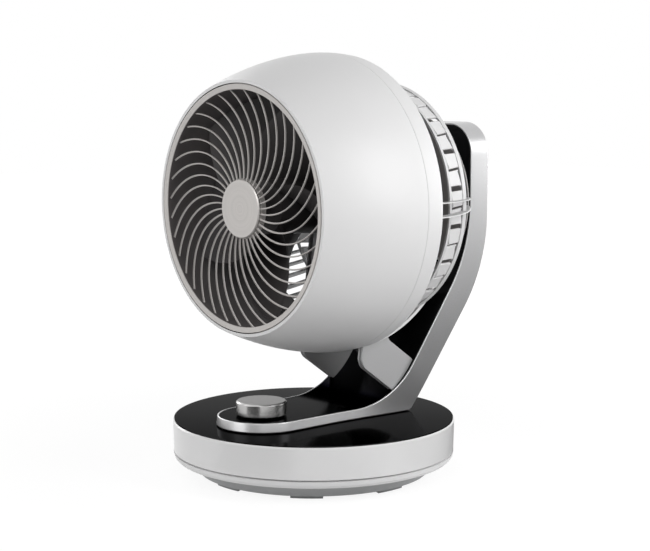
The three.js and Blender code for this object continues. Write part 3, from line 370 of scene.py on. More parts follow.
pad_rubber = moulding("pad_rubber", (0.36, 0.365, 0.37), 0.85, grain=0.15, size=900)
PAD_SECTION = rounded([(88.5, 0, 0.6), (99.5, 0, 0.6), (99.5, 2.65, 0), (88.5, 2.65, 0)])
PADS = 8
PAD_HALF = 8
for pad in range(PADS):
    node = f"foot_pad_{pad + 1}"
    pad_at = 360 / PADS * pad
    pad_bar = arc_bar(PAD_SECTION, pad_at - PAD_HALF, pad_at + PAD_HALF, SWING_AXIS, "Z", 12)
    piece(f"rubber_{node}", [pad_bar], pad_rubber, "foot", node)

# Fixed ring ------------------------------------------------------------------------------
# A white ring that four zinc-plated screws hold to the foot. It bellies out to the drum's
# side, and the drum swings on the nylon glide ring inside it.
shell_white = moulding("shell_white", (0.75, 0.748, 0.75), 0.4, grain=0.012, size=700, stain=0.006)
RING = [
    (96, 14.4, 0),
    (121.4, 14.4, 0.5),
    (123.7, 16.7, 2.5),
    (124.6, 21.0, 0.5),
    (121.5, 21.0, 0.3),
    (118.8, 17.0, 0),
    (96, 17.0, 0),
]
piece(
    "white_ring",
    [lathe(shut(rounded(RING)), SWING_AXIS, sides=256)],
    shell_white,
    "foot",
    "base_ring",
)


def worked_metal(name, color, roughness, scratches=180, metal=1.0):
    """Plated or cast metal: faint streaks and a mottled shine."""
    material, shade, place = open_material(name)
    streaks = {"Vector": place, "Scale": scratches, "Detail": 4}
    mottle = shade.node("ShaderNodeTexNoise", sockets=streaks)
    tone = shades(color, 0.88, 1.1)
    relief = {"Strength": 0.08, "Distance": 0.0005, "Height": mottle}
    surface = {
        "Base Color": shade.node("ShaderNodeValToRGB", {"stops": tone}, {"Fac": mottle}),
        "Metallic": metal,
        "Roughness": roughness * (0.8 + 0.4 * mottle),
        "Normal": shade.node("ShaderNodeBump", sockets=relief),
    }
    finish_material(shade, surface)
    return material


zinc = worked_metal("zinc", (0.5, 0.5, 0.5), 0.35)
RING_SCREW = [
    (0, 3.0, 0),
    (3.2, 3.0, 0.6),
    (3.2, 4.6, 0.3),
    (2, 4.6, 0),
    (2, 16.5, 0.4),
    (0, 16.5, 0),
]
RING_SCREW_REACH = 69.5
for k, corner in enumerate([(1, 1, 0), (-1, 1, 0), (-1, -1, 0), (1, -1, 0)]):
    screw_axis = SWING_AXIS + np.array(corner) * RING_SCREW_REACH
    screw_grid = lathe(rounded(RING_SCREW), screw_axis, sides=32)
    node = f"ring_screw_{k + 1}"
    piece(f"zinc_{node}", [screw_grid], zinc, "foot", node)

# Drum and top plate ----------------------------------------------------------------------
# The turning part of the base: a white drum with a fine bright chamfer, closed by a piano
# black plate that stands 1.4 mm above it.
DRUM = [
    (9.4, 21.9, 0),
    (125, 21.9, 0.6),
    (125, 49.2, 1.2),
    (123.9, 49.2, 0),
    (122.4, 48.6, 0),
    (122.4, 24.5, 0),
    (9.4, 24.5, 0),
]
drum_white = moulding(
    "drum_white", (0.75, 0.748, 0.75), 0.32, grain=0.008, size=700, coat=0.6, stain=0.006
)
piece(
    "white_drum",
    [lathe(shut(rounded(DRUM)), SWING_AXIS, sides=256)],
    drum_white,
    "turntable",
    "drum_shell",
)


def piano_black(name, color, roughness):
    """Polished black that mirrors a few percent of the light, with dust that dulls it in spots."""
    material, shade, place = open_material(name)
    wave = shade.node("ShaderNodeTexNoise", sockets={"Vector": place, "Scale": 18, "Detail": 1})
    dust = shade.node("ShaderNodeTexNoise", sockets={"Vector": place, "Scale": 900, "Detail": 2})
    spots = [(0.6, (0, 0, 0)), (0.75, (1, 1, 1))]
    specks = shade.node("ShaderNodeValToRGB", {"stops": spots}, {"Fac": dust})
    tone = shades(color, 1, 1.15)
    surface = {
        "Base Color": shade.node("ShaderNodeValToRGB", {"stops": tone}, {"Fac": wave}),
        "Metallic": 1.0,
        "Specular Tint": (0.32, 0.32, 0.32, 1),
        "Roughness": roughness + 0.1 * specks,
    }
    finish_material(shade, surface)
    return material


plate_black = piano_black("plate_black", (0.03, 0.03, 0.031), 0.1)
PLATE = [
    (0, 49.2, 0),
    (124, 49.2, 0),
    (124, 50.6, 0.5),
    (0, 50.6, 0),
]
piece(
    "black_plate",
    [lathe(rounded(PLATE), SWING_AXIS, sides=256)],
    plate_black,
    "turntable",
    "top_plate",
)

# Arm and inlay ---------------------------------------------------------------------------
# One silver-lacquered frame that lies on the plate as a tongue, bends up behind the head and
# ends in a round-cornered top. Its sides lean in a little towards its inner face, and a piano
# black inlay is let into that face.
ARM_INNER = rounded(
    [(-124, 59, 0), (29, 59, 82), (127.6, 191.3, 133), (127.6, 307.6, 0)], closed=False, steps=40
)
ARM_OUTER = rounded(
    [(-124, 50.6, 0), (51.6, 50.6, 0), (150, 176.1, 140), (150, 307.6, 0)], closed=False, steps=40
)
ARM_TOP_CORNER = 28
ARM_HALF = 47
TONGUE_HALF = 40.5
FLARE_START = 82
FLARE_LENGTH = 107


def spread(line, gap):
    """A line of points again, its points no further apart than a gap and its corners kept.

    A point that lies on the one before it is dropped.
    """
    out = [line[:1]]
    for a, b in zip(line[:-1], line[1:]):
        count = math.ceil(np.linalg.norm(b - a) / gap - 1e-6)
        out.append(a + (b - a) * np.linspace(0, 1, count + 1)[1:, None])
    return np.concatenate(out)


def arm_spine():
    """Stations along the inner face: arc length, point, the normal there and the thickness."""
    inner = spread(ARM_INNER, 1.5)
    along = np.gradient(inner, axis=0)
    along /= np.linalg.norm(along, axis=1)[:, None]
    normal = np.stack([along[:, 1], -along[:, 0]], -1)
    starts, ends = ARM_OUTER[:-1], ARM_OUTER[1:]
    edge = ends - starts
    cross = normal[:, None, 0] * edge[None, :, 1] - normal[:, None, 1] * edge[None, :, 0]
    cross = np.where(np.abs(cross) < 1e-9, 1e-9, cross)
    gap = starts[None] - inner[:, None]
    reach = (gap[..., 0] * edge[None, :, 1] - gap[..., 1] * edge[None, :, 0]) / cross
    share = (gap[..., 0] * normal[:, None, 1] - gap[..., 1] * normal[:, None, 0]) / cross
    hit = np.where((share > -1e-6) & (share < 1 + 1e-6) & (reach > 0), reach, np.inf)
    thick = hit.min(1)
    length = np.concatenate([[0], np.cumsum(np.linalg.norm(np.diff(inner, axis=0), axis=1))])
    return length, inner, normal, thick


ARM_LENGTH, ARM_LINE, ARM_NORMAL, ARM_THICK = arm_spine()


def arm_plan():
    """The arm's outline (length, x) with its inner face unrolled, from the tongue's tip round.

    The tongue's end is a half circle, its sides widen smoothly from 40.5 to 47 mm, and the
    top's corners are arcs of 28 mm.
    """
    top = ARM_LENGTH[-1]
    turn = np.radians(np.linspace(0, 90, 28))[:-1]
    end = TONGUE_HALF * np.stack([1 - np.cos(turn), np.sin(turn)], -1)
    side_at = np.linspace(TONGUE_HALF, top - ARM_TOP_CORNER, 140)
    flare = np.clip((side_at - FLARE_START) / FLARE_LENGTH, 0, 1)
    half = TONGUE_HALF + (ARM_HALF - TONGUE_HALF) * flare**2 * (3 - 2 * flare)
    turn = np.radians(np.linspace(0, 90, 20))[1:]
    bend = ARM_TOP_CORNER * np.stack([np.sin(turn) - 1, np.cos(turn) - 1], -1) + (top, ARM_HALF)
    across = np.linspace(ARM_HALF - ARM_TOP_CORNER, 0, 10)[1:]
    edge = np.stack([top + 0 * across, across], -1)
    plan = np.concatenate([end, np.stack([side_at, half], -1), bend, edge])
    return np.concatenate([plan, plan[-2:0:-1] * (1, -1)])


def arm_grid(rows):
    """The arm's surface: each row is the plan moved inwards by a distance, at a depth.

    A row is (inset, depth, from_back, narrow): depth is measured from the inner face, or
    from the back face where from_back is 1, and narrow draws the row in towards x = 0.
    """
    plan = arm_plan()
    along = np.roll(plan, -1, 0) - np.roll(plan, 1, 0)
    along /= np.linalg.norm(along, axis=1)[:, None]
    inward = np.stack([along[:, 1], -along[:, 0]], -1)
    grid = []
    for inset_by, depth, from_back, narrow in rows:
        length, across = (plan + inward * inset_by).T
        across = across * (1 - narrow)
        length = np.clip(length, 0, ARM_LENGTH[-1])
        line, normal = (
            np.stack([np.interp(length, ARM_LENGTH, values[:, k]) for k in (0, 1)], -1)
            for values in (ARM_LINE, ARM_NORMAL)
        )
        thick = np.interp(length, ARM_LENGTH, ARM_THICK)
        reach = np.where(from_back, thick - depth, depth)
        at = line + normal * reach[:, None]
        grid.append(np.stack([across, at[:, 0], at[:, 1]], -1))
    return np.stack(grid)


def quarter(radius, steps=5):
    """(inset, depth) points of a round edge of that radius, from the face to the side."""
    turn = np.linspace(0, np.pi / 2, steps + 1)
    return [(radius * (1 - np.sin(a)), radius * (1 - np.cos(a))) for a in turn]


def silver_lacquer(name, color, roughness, metal):
    """Silver lacquer with fine metal flake, a trace of orange peel and a soft clear coat."""
    material, shade, place = open_material(name)
    flake = shade.node("ShaderNodeTexNoise", sockets={"Vector": place, "Scale": 3000, "Detail": 1})
    peel = shade.node("ShaderNodeTexNoise", sockets={"Vector": place, "Scale": 260, "Detail": 2})
    tone = shades(color, 0.93, 1.07, 0.35, 0.65)
    relief = {"Strength": 0.02, "Distance": 0.001, "Height": peel}
    surface = {
        "Base Color": shade.node("ShaderNodeValToRGB", {"stops": tone}, {"Fac": flake}),
        "Metallic": metal,
        "Roughness": roughness * (0.85 + 0.3 * flake),
        "Coat Weight": 0.2,
        "Coat Roughness": 0.15,
        "Normal": shade.node("ShaderNodeBump", sockets=relief),
    }
    finish_material(shade, surface)
    return material


arm_silver = silver_lacquer("arm_silver", (0.5, 0.5, 0.505), 0.3, 0.85)
INLAY_EDGE = 2.2
INLAY_GAP = 0.3
POCKET_DEPTH = 3.2
POCKET_BEVEL = 0.35
SIDE_LEAN = 0.8
SIDE_ROUND = 0.6
BACK_ROUND = 1.2
frame_rows = [(INLAY_EDGE, POCKET_DEPTH, 0, k) for k in (1.0, 0.6, 0.3, 0)]
frame_rows += [(INLAY_EDGE, POCKET_BEVEL, 0, 0), (INLAY_EDGE - POCKET_BEVEL, 0, 0, 0)]
frame_rows += [(inset_by + SIDE_LEAN, depth, 0, 0) for inset_by, depth in quarter(SIDE_ROUND)]
frame_rows += [(inset_by, depth, 1, 0) for inset_by, depth in reversed(quarter(BACK_ROUND))]
frame_rows += [(BACK_ROUND, 0, 1, k) for k in (0.2, 0.4, 0.6, 0.8, 1.0)]
piece(
    "silver_arm",
    [arm_grid(frame_rows)],
    arm_silver,
    "turntable",
    "arm_frame",
)

inlay_black = piano_black("inlay_black", (0.022, 0.022, 0.023), 0.14)
INLAY_SIDE = INLAY_EDGE + INLAY_GAP
INLAY_FACE = 0.5
INLAY_ROUND = 0.4
inlay_back = POCKET_DEPTH - INLAY_GAP
inlay_rows = [(INLAY_SIDE, inlay_back, 0, 1.0), (INLAY_SIDE, inlay_back, 0, 0)]
for inset_by, depth in reversed(quarter(INLAY_ROUND)):
    inlay_rows.append((INLAY_SIDE + inset_by, INLAY_FACE + depth, 0, 0))
inlay_rows += [(INLAY_SIDE + INLAY_ROUND, INLAY_FACE, 0, k) for k in np.linspace(0, 1, 9)[1:]]
piece(
    "black_inlay",
    [arm_grid(inlay_rows)],
    inlay_black,
    "turntable",
    "arm_inlay",
)

# Fork --------------------------------------------------------------------------------------
# Two silver cheeks, 6 mm thick, that stand on the arm's bend and carry the head's tilt pins.
# Each has a fine groove round its edge, between two softened corners.
LEG_THICK = 6
LEG_INSIDE = 36
LEG = [
    (-5.45, 97, 13),
    (46.05, 60.9, 3),
    (68.05, 88.6, 0),
    (26.05, 118.0, 9),
    (26.05, 254.2, 15.6),
    (-5.45, 254.2, 15.6),
]
LEG_EDGE_HALF = [(1.0, 0), (0.25, 0.12), (0, 0.6), (0, 1.8), (0.3, 2.1), (1.4, 2.1)]
LEG_EDGE = LEG_EDGE_HALF + [(inset, LEG_THICK - x) for inset, x in reversed(LEG_EDGE_HALF)]


def plate_rim(outline, edge, side):
    """A plate's rim from its outline (y, z): each row is the outline moved inwards, at an x."""
    along = np.roll(outline, -1, 0) - np.roll(outline, 1, 0)
    along /= np.linalg.norm(along, axis=1)[:, None]
    inward = np.stack([-along[:, 1], along[:, 0]], -1)
    rows = [(outline + inward * inset_by, side + x) for inset_by, x in edge]
    return [np.concatenate([np.full((len(line), 1), x), line], 1) for line, x in rows]


def plate_piece(name, outline, edge, side, material, body, node):
    """A flat plate whose two faces are single polygons."""
    rows = plate_rim(outline, edge, side)
    count = len(outline)
    faces = grid_faces(len(rows), count)
    faces += [list(range(count))[::-1], [(len(rows) - 1) * count + k for k in range(count)]]
    made = link_mesh(name, np.concatenate(rows), faces, material)
    settle(made)
    enlist(made, body, node)


leg_silver = silver_lacquer("leg_silver", (0.52, 0.52, 0.525), 0.42, 0.35)
leg_outline = spread(rounded(LEG, steps=14), 3.0)[:-1]
for leg_name, leg_side in (("left", -LEG_INSIDE - LEG_THICK), ("right", LEG_INSIDE)):
    plate_piece(
        f"silver_leg_{leg_name}",
        leg_outline,
        LEG_EDGE,
        leg_side,
        leg_silver,
        "turntable",
        f"fork_{leg_name}",
    )

# Knob --------------------------------------------------------------------------------------
# A knob turned from aluminium, with a fine chamfer round its top. It sits on a brass shaft
# that comes up through the tongue.
KNOB_AXIS = np.array([0, -85.5, 0])


def turned_metal(name, axis, centre, color, roughness, rings=2600):
    """Turned aluminium: fine rings about the axis break up its shine, which is dim at a slant."""
    material, shade, place = open_material(name)
    turn = {"Y": (math.pi / 2, 0, 0), "Z": (0, 0, 0)}[axis]
    moved = shade.node(
        "ShaderNodeMapping",
        {"vector_type": "TEXTURE"},
        {"Vector": place, "Location": centre, "Rotation": turn},
    )
    x, y, z = (moved.node("ShaderNodeSeparateXYZ", sockets={0: moved}, output=k) for k in range(3))
    radius = shade.maths("SQRT", x * x + y * y)
    rings_at = shade.node("ShaderNodeCombineXYZ", sockets={0: radius * rings, 1: z * rings})
    fine = shade.node("ShaderNodeTexNoise", sockets={"Vector": rings_at, "Scale": 1.0, "Detail": 2})
    tone = shades(color, 0.93, 1.06)
    relief = {"Strength": 0.01, "Distance": 0.0005, "Height": fine}
    surface = {
        "Base Color": shade.node("ShaderNodeValToRGB", {"stops": tone}, {"Fac": fine}),
        "Metallic": 1.0,
        "Specular Tint": (0.45, 0.45, 0.45, 1),
        "Roughness": roughness * (0.85 + 0.3 * fine),
        "Normal": shade.node("ShaderNodeBump", sockets=relief),
    }
    finish_material(shade, surface)
    return material


knob_middle = tuple(KNOB_AXIS / 1000)
knob_metal = turned_metal("knob_metal", "Z", knob_middle, (0.5, 0.495, 0.49), 0.25)
KNOB = [
    (0, 66.0, 0),
    (2.8, 66.0, 0),
    (2.8, 59.8, 0),
    (21.4, 59.8, 0.3),
    (22, 60.4, 0.3),
    (22, 70.4, 0.35),
    (20.8, 71.6, 0.35),
    (0, 71.6, 0),
]
piece(
    "metal_knob",
    [lathe(rounded(KNOB), KNOB_AXIS, sides=128)],
    knob_metal,
    "dial",
    "knob",
)

# Front cover -------------------------------------------------------------------------------
# The ball's white front half. It closes in towards the bezel, and meets the collar of the
# back cover at a fine seam.
HEAD_AXIS = np.array([0, -15, 238.6])
BALL = 131.6
SHELL_WALL = 2.6
COVER_FRONT = -94.9
COVER_LENGTH = 95.1
COVER_DROP = 23.4


def cover_line(start, end, wall, count=48):
    """(radius, place): 131.6 - 23.4 t^1.8, less the wall, where t runs from seam to bezel."""
    place = np.linspace(start, end, count)
    share = np.maximum(-place, 0) / COVER_LENGTH
    return np.stack([BALL - COVER_DROP * share**1.8 - wall, place], -1)


outside = cover_line(-0.55, COVER_FRONT, 0)
inside = cover_line(COVER_FRONT, -0.3, SHELL_WALL)
seam_lip = np.array([(BALL - 0.55, -0.15), (BALL - 0.2, -0.25), (BALL - 0.03, -0.4)])
piece(
    "white_front_cover",
    [lathe(shut(np.concatenate([seam_lip, outside, inside])), HEAD_AXIS, "Y", 256)],
    shell_white,
    "head",
    "front_shell",
)

# Air duct ----------------------------------------------------------------------------------
# The charcoal tunnel behind the bezel, in which the impeller runs. It is one moulding, with a
# flange in front that stiffens it.
inner_charcoal = moulding("inner_charcoal", (0.11, 0.1, 0.1), 0.6, grain=0.05)
DUCT = [
    (100.3, -93.5, 0),
    (102.4, -93.5, 0),
    (102.4, -82.8, 0),
    (110.4, -82.8, 0),
    (110.4, -80.8, 0),
    (102.3, -80.8, 1.5),
    (102.3, 4, 0),
    (100.3, 4, 0),
]
piece(
    "charcoal_duct",
    [lathe(shut(rounded(DUCT)), HEAD_AXIS, "Y", 192)],
    inner_charcoal,
    "head",
    "air_duct",
)

# Front grille ------------------------------------------------------------------------------
# One warm grey moulding: the bezel ring, a hub, and 36 vanes that leave the hub straight and
# sweep round the further out they are.
VANES = 36
VANE_FRONT = -91.7
VANE_DEPTH = 1.4
VANE_THICK = 1.4
VANE_ROOT, VANE_TIP = 25.0, 101.0
SWEEP_ROOT, SWEEP_TIP = 26.3, 101.3
grille_grey = moulding("grille_grey", (0.58, 0.555, 0.535), 0.42, grain=0.03, size=900)
BEZEL = [
    (100.3, -93.6, 0),
    (100.3, -95.1, 0.9),
    (105.6, -95.1, 0.9),
    (105.6, -92.0, 0),
    (102.5, -92.0, 0),
    (102.5, -93.6, 0),
]
HUB = [(0, -85.2, 0), (25.4, -85.2, 0), (25.4, -90.9, 0.5), (0, -90.9, 0)]


def head_copies(grid, turns):
    """Copies of a grid drawn about the head's axis, each turned from +X towards +Z by an angle."""
    x, y, z = grid[..., 0], grid[..., 1], grid[..., 2]
    cos, sin = (values[:, None, None] for values in (np.cos(turns), np.sin(turns)))
    return list(np.stack([x * cos - z * sin, y + 0 * cos, x * sin + z * cos], -1) + HEAD_AXIS)


def vane_bank():
    """All vanes: a section with round front edges carried along phi = -6.8 + 35.5 t^1.465.

    t runs from 0 at the hub to 1 at the bezel, phi is in degrees from +X towards +Z, and each
    vane is turned by 10 degrees from the one before.
    """
    radius = np.linspace(VANE_ROOT, VANE_TIP, 22)[:, None]
    swept = np.maximum(0, radius - SWEEP_ROOT) / (SWEEP_TIP - SWEEP_ROOT)
    turn = np.radians(-6.8 + 35.5 * swept**1.465)
    half = VANE_THICK / 2
    front = rounded(
        [(-half, VANE_DEPTH, 0), (-half, 0, 0.6), (half, 0, 0.6), (half, VANE_DEPTH, 0)], steps=3
    )
    across, depth = front[:, 0], front[:, 1]
    line = np.concatenate([radius * np.cos(turn), radius * np.sin(turn)], 1)
    along = np.gradient(line, axis=0)
    along /= np.linalg.norm(along, axis=1)[:, None]
    x = line[:, :1] - along[:, 1:] * across
    z = line[:, 1:] + along[:, :1] * across
    vane = capped(np.stack([x, VANE_FRONT + depth + 0 * x, z], -1))
    return head_copies(vane, np.radians(360 / VANES) * np.arange(VANES))


piece(
    "grey_grille",
    [
        lathe(shut(rounded(BEZEL)), HEAD_AXIS, "Y", 256),
        lathe(rounded(HUB), HEAD_AXIS, "Y", 96),
        *vane_bank(),
    ],
    grille_grey,
    "head",
    "front_grille",
)

# Hub disc ----------------------------------------------------------------------------------
# A plain brushed aluminium disc with a bevelled edge, cut from sheet. It is glued to the
# grille's hub.
head_middle = tuple(HEAD_AXIS / 1000)
disc_metal = turned_metal("disc_metal", "Y", head_middle, (0.48, 0.462, 0.448), 0.4, 1500)
DISC = [(0, -90.9, 0), (25.0, -90.9, 0), (25.0, -92.0, 0.3), (24.2, -93.0, 0.3), (0, -93.0, 0)]
piece(
    "metal_disc",
    [lathe(rounded(DISC), HEAD_AXIS, "Y", 128)],
    disc_metal,
    "head",
    "hub_cap",
)

# Back cover --------------------------------------------------------------------------------
# White collar, ribs and hoop in one moulding, with a round plate at the back and a solid
# panel below that is slotted for the fork.
RIBS = 68
RIB_THICK = 1.7
RIB_DEPTH = 7.5
RIB_SINK = 0.9
RIB_CREST = BALL - RIB_SINK


def ribbed_white_painted_shade(name, shaded_flank, crest):
    """White plastic with painted shade: the ribs' flanks are painted darker than their lit crests,
    by distance from the head's axis, and are duller.
    """
    material, shade, place = open_material(name)
    ends = {0: place, 1: head_middle}
    reach = shade.node("ShaderNodeVectorMath", {"operation": "DISTANCE"}, ends, "Value")
    low, high = ((RIB_CREST - below) / 1000 for below in (1.4, 0.3))
    rise = {"Value": reach, "From Min": low, "From Max": high}
    share = shade.node("ShaderNodeMapRange", sockets=rise)
    # Painted shade: the flank colour is darker than the crest colour, standing in for the shade
    # between the ribs and the light on their crests.
    stops = [(0, (shaded_flank, shaded_flank, shaded_flank)), (1, (crest, crest, crest))]
    fine = shade.node("ShaderNodeTexNoise", sockets={"Vector": place, "Scale": 700, "Detail": 2})
    relief = {"Strength": 0.02, "Distance": 0.001, "Height": fine}
    surface = {
        "Base Color": shade.node("ShaderNodeValToRGB", {"stops": stops}, {"Fac": share}),
        "Roughness": 0.5 - 0.1 * share,
        "Normal": shade.node("ShaderNodeBump", sockets=relief),
    }
    finish_material(shade, surface)
    return material


# Ribs with painted shade: flanks painted 0.5, crests painted 0.8.
rib_white_painted_shade = ribbed_white_painted_shade("rib_white_painted_shade", 0.5, 0.8)


def ball_line(start, end, wall=0.0, count=24):
    """(radius, place) of the sphere of 131.6 mm, less a wall."""
    place = np.linspace(start, end, count)
    return np.stack([np.sqrt((BALL - wall) ** 2 - place**2), place], -1)


collar_profile = np.concatenate(
    [
        [(BALL - 0.5, 0.0), (BALL - 0.12, 0.12)],
        ball_line(0.5, 17.5),
        [(129.9, 18.0)],
        ball_line(18, 1.5, SHELL_WALL),
        [(126.9, 1.5), (126.9, -6), (128.4, -6), (128.4, 0)],
    ]
)

SLOT_X = (34.5, 43.5)
SLOT_HALF = 17.25
SLOT_NEAR, SLOT_FAR = 32.5, 263.0
SLOT_TILT = math.radians(46)
PIVOT = 25.3


def slot_cutter(side):
    """The room of a leg while the head tilts up by 46 degrees, as a five-cornered prism."""

    def swung(reach):
        return (
            PIVOT + SLOT_HALF * math.cos(SLOT_TILT) + reach * math.sin(SLOT_TILT),
            SLOT_HALF * math.sin(SLOT_TILT) - reach * math.cos(SLOT_TILT),
        )

    front = PIVOT - SLOT_HALF
    line = [(front, -SLOT_NEAR), (front, -SLOT_FAR), (PIVOT + SLOT_FAR, -SLOT_FAR)]
    line = np.array(line + [swung(2 * SLOT_FAR), swung(SLOT_NEAR)])
    rows = [np.concatenate([np.full((5, 1), side * x), line], 1) + HEAD_AXIS for x in SLOT_X]
    faces = grid_faces(2, 5) + [[4, 3, 2, 1, 0], [5, 6, 7, 8, 9]]
    cutter = link_mesh("slot_cutter", np.concatenate(rows), faces, rib_white_painted_shade)
    settle(cutter, weighted=False)
    return cutter


def cut(made, cutters):
    """Cuts other solids out of a piece and keeps the result as its mesh."""
    for cutter in cutters:
        tool = made.modifiers.new("cut", "BOOLEAN")
        tool.operation = "DIFFERENCE"
        tool.object = cutter
        tool.solver = "EXACT"
    bpy.context.view_layer.update()
    seen = made.evaluated_get(bpy.context.evaluated_depsgraph_get())
    result = bpy.data.meshes.new_from_object(seen)
    made.modifiers.clear()
    made.data = result


cutters = [slot_cutter(side) for side in (-1, 1)]


def slotted(name, grids, material):
    """A piece of the back cover with the fork's slots cut out of it."""
    made = gather(name, grids, material)
    settle(made, weighted=False)
    cut(made, cutters)
    settle(made)
    enlist(made, "head", "rear_cover")


slotted("white_collar", [lathe(shut(collar_profile), HEAD_AXIS, "Y", 256)], shell_white)

TAIL_HALF = 49.0
TAIL_COLUMNS = 61


def tail_panel():
    """The sphere's wall between x = -49 and x = 49 below the motor, from collar to plate."""
    x = np.linspace(-TAIL_HALF, TAIL_HALF, TAIL_COLUMNS)
    place = np.linspace(17, 105.5, 60)[:, None]
    outer, inner = (np.sqrt(r**2 - place**2 - x**2) for r in (BALL, BALL - SHELL_WALL))
    across = x + 0 * place
    deep = place + 0 * across
    sheets = [np.stack([across, deep, -height], -1) for height in (outer, inner)]
    ring = np.concatenate([sheets[0], sheets[1][:, ::-1]], 1)
    ends = (end[:TAIL_COLUMNS] for end in (ring[0], ring[-1]))
    first, last = (np.concatenate([end, end[::-1]]) for end in ends)
    return np.concatenate([first[None], ring, last[None]]) + HEAD_AXIS


slotted("white_tail_panel", [tail_panel()], shell_white)

TAIL_CREST = 130.4


def rib_bank():
    """Ribs: a thin section with round crests carried along the sphere, 0.9 mm below it."""
    place = np.linspace(15.5, 105.7, 26)[:, None]
    crest = np.sqrt(BALL**2 - place**2) - RIB_SINK
    half = RIB_THICK / 2
    section = rounded(
        [(-half, RIB_DEPTH, 0), (-half, 0, 0.7), (half, 0, 0.7), (half, RIB_DEPTH, 0)], steps=3
    )
    across, depth = section[:, 0], section[:, 1]
    radius = crest - depth
    rib = capped(np.stack([across + 0 * radius, place + 0 * radius, radius], -1))
    turn = 2 * np.pi * (np.arange(RIBS) + 0.5) / RIBS
    kept = np.abs(turn - np.pi) > math.asin((TAIL_HALF - RIB_THICK) / TAIL_CREST)
    return head_copies(rib, turn[kept])


# The ribs carry painted shade on their flanks and a painted highlight on their crests.
slotted("white_ribs", rib_bank(), rib_white_painted_shade)

# Hoop and ladder ---------------------------------------------------------------------------
# Under the ribs runs a stiff ladder: a hoop behind, a thinner ring in front, and between them
# a row of blocks whose flanks lean in turn to one side and to the other.
LADDER_ENDS = (-64, 244)
LADDER_BLOCKS = 34
LADDER_RADIUS = 105
MM_PER_DEGREE = 1.83
HOOP = rounded([(103, 69, 0.8), (106.2, 69, 0.8), (106.2, 73, 0.8), (103, 73, 0.8)], steps=3)
INNER_RING = rounded([(103, 52.5, 0.6), (106, 52.5, 0.6), (106, 55, 0.6), (103, 55, 0.6)], steps=3)


def ladder_blocks():
    """Blocks: rounded trapezoids, wide in turn at the ring and at the hoop, drawn in on top."""
    pitch = (LADDER_ENDS[1] - LADDER_ENDS[0]) / LADDER_BLOCKS
    grids = []
    for k in range(LADDER_BLOCKS):
        middle = LADDER_ENDS[0] + pitch * (k + 0.5)
        ahead, behind = (0.50, 0.38) if k % 2 else (0.38, 0.50)
        corners = [(-ahead, 54.8), (ahead, 54.8), (behind, 69.2), (-behind, 69.2)]
        plan = rounded([(u * pitch * MM_PER_DEGREE, v, 1.2) for u, v in corners], steps=3)
        centre = plan.mean(0)
        rows = []
        for radius, share in ((103.0, 1.0), (104.6, 1.0), (105.0, 0.94)):
            flat = centre + (plan - centre) * share
            turn = np.radians(middle) + flat[:, 0] / LADDER_RADIUS
            rows.append(np.stack([radius * np.cos(turn), flat[:, 1], radius * np.sin(turn)], -1))
        grids.append(capped(np.stack(rows)) + HEAD_AXIS)
    return grids


ladder_bars = [arc_bar(bar, *LADDER_ENDS, HEAD_AXIS, "Y", 160) for bar in (HOOP, INNER_RING)]
piece(
    "white_ladder",
    ladder_bars + ladder_blocks(),
    shell_white,
    "head",
    "rear_cover",
)

# Back plate --------------------------------------------------------------------------------
# A round plate that closes the ball behind, with a fine ring groove. It is lined with grey
# inside, where the motor's mount is fixed to it.
BACK_PLATE = [
    (0, 104.4, 0),
    (80.1, 104.4, 0.5),
    (76.6, 107, 1.0),
    (62, 107, 0.5),
    (61, 106.2, 0.5),
    (59, 106.2, 0.5),
    (58, 107, 0.5),
    (0, 107, 0),
]
slotted("white_back_plate", [lathe(rounded(BACK_PLATE), HEAD_AXIS, "Y", 192)], shell_white)
lining_grey = moulding("lining_grey", (0.3, 0.29, 0.285), 0.6)
LINING = [(0, 103.2), (79, 103.2), (79, 104.3), (0, 104.3)]
slotted("grey_lining", [lathe(LINING, HEAD_AXIS, "Y", 96)], lining_grey)
for cutter in cutters:
    bpy.data.objects.remove(cutter)

# Impeller ----------------------------------------------------------------------------------
# A charcoal axial wheel: five broad swept blades on a drum-shaped hub, held on the motor's
# shaft by a domed nut.
rotor_charcoal = moulding("rotor_charcoal", (0.05, 0.046, 0.046), 0.4, grain=0.03, specular=0.15)
ROTOR_HUB = [
    (4.3, -66, 0),
    (26, -66, 3),
    (26, -4, 0.5),
    (23, -4, 0.5),
    (23, -60, 2),
    (10, -60, 0),
    (10, -12, 0),
    (4.3, -12, 0),
]
BLADES = 5
BLADE_ROOT, BLADE_TIP = 25, 96.3


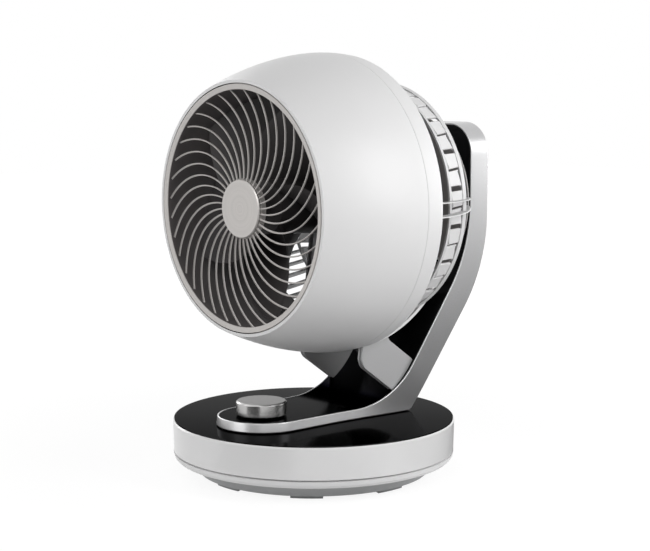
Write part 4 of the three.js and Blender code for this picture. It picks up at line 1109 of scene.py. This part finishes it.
def blade_bank():
    """Five helical sheets, 2 mm thick, that turn by 96 degrees from back to front.

    The angle is 66 + 48 s - 48 t and the place -37.2 - 32.1 s, where s runs from -1 at the
    back to 1 in front, and t from 0 at the hub to 1 at the tip.
    """
    across = np.linspace(0, 1, 20)[:, None]
    along = np.linspace(-1, 1, 29)
    radius = BLADE_ROOT + (BLADE_TIP - BLADE_ROOT) * across
    angle = np.radians(66 + 48 * along - 48 * across)
    half = np.sqrt(np.maximum(0, 1 - np.abs(along) ** 14))
    x, z = radius * np.cos(angle), radius * np.sin(angle)
    middle = -37.2 - 32.1 * along + 0 * x
    front, back = (np.stack([x, middle + side * half, z], -1) for side in (-1, 1))
    ring = np.concatenate([front, back[:, ::-1]], 1)
    root, tip = ((end + end[::-1]) / 2 for end in (ring[0], ring[-1]))
    blade = np.concatenate([root[None], ring, tip[None]])
    return head_copies(blade, np.radians(360 / BLADES) * np.arange(BLADES))


piece(
    "charcoal_impeller",
    [lathe(shut(rounded(ROTOR_HUB)), HEAD_AXIS, "Y", 96), *blade_bank()],
    rotor_charcoal,
    "rotor",
    "impeller",
)

# Parts kept from the frame -----------------------------------------------------------------
# Screws, pins, washers, gears, motors and the board are small or hidden, so their CAD shapes
# stay, and each gets its own finish.
brass = worked_metal("brass", (0.5, 0.39, 0.17), 0.3)
cast = worked_metal("cast_housing", (0.16, 0.16, 0.165), 0.5, 400, 0.6)
nylon = moulding("nylon", (0.72, 0.7, 0.62), 0.5, grain=0.05)
board_green = moulding("board_green", (0.015, 0.09, 0.045), 0.35, grain=0.1, size=300)
KEPT = {
    zinc: ["ballast_plate", "spindle_cap", "swing_motor", "knob_encoder", "motor_shaft"]
    + ["tilt_pin_left", "tilt_pin_right"]
    + [f"mount_screw_{k}" for k in range(1, 5)],
    brass: ["swing_pinion", "knob_shaft"],
    cast: ["motor_housing"],
    nylon: ["glide_ring", "swing_gear", "tilt_washer_left", "tilt_washer_right"],
    board_green: ["control_board"],
    inner_charcoal: ["cord_gland", "motor_mount"],
    rotor_charcoal: ["spinner_nut"],
}
for finish, kept_nodes in KEPT.items():
    for node in kept_nodes:
        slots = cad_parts[node].material_slots
        for k in range(len(slots)):
            slots[k].material = finish
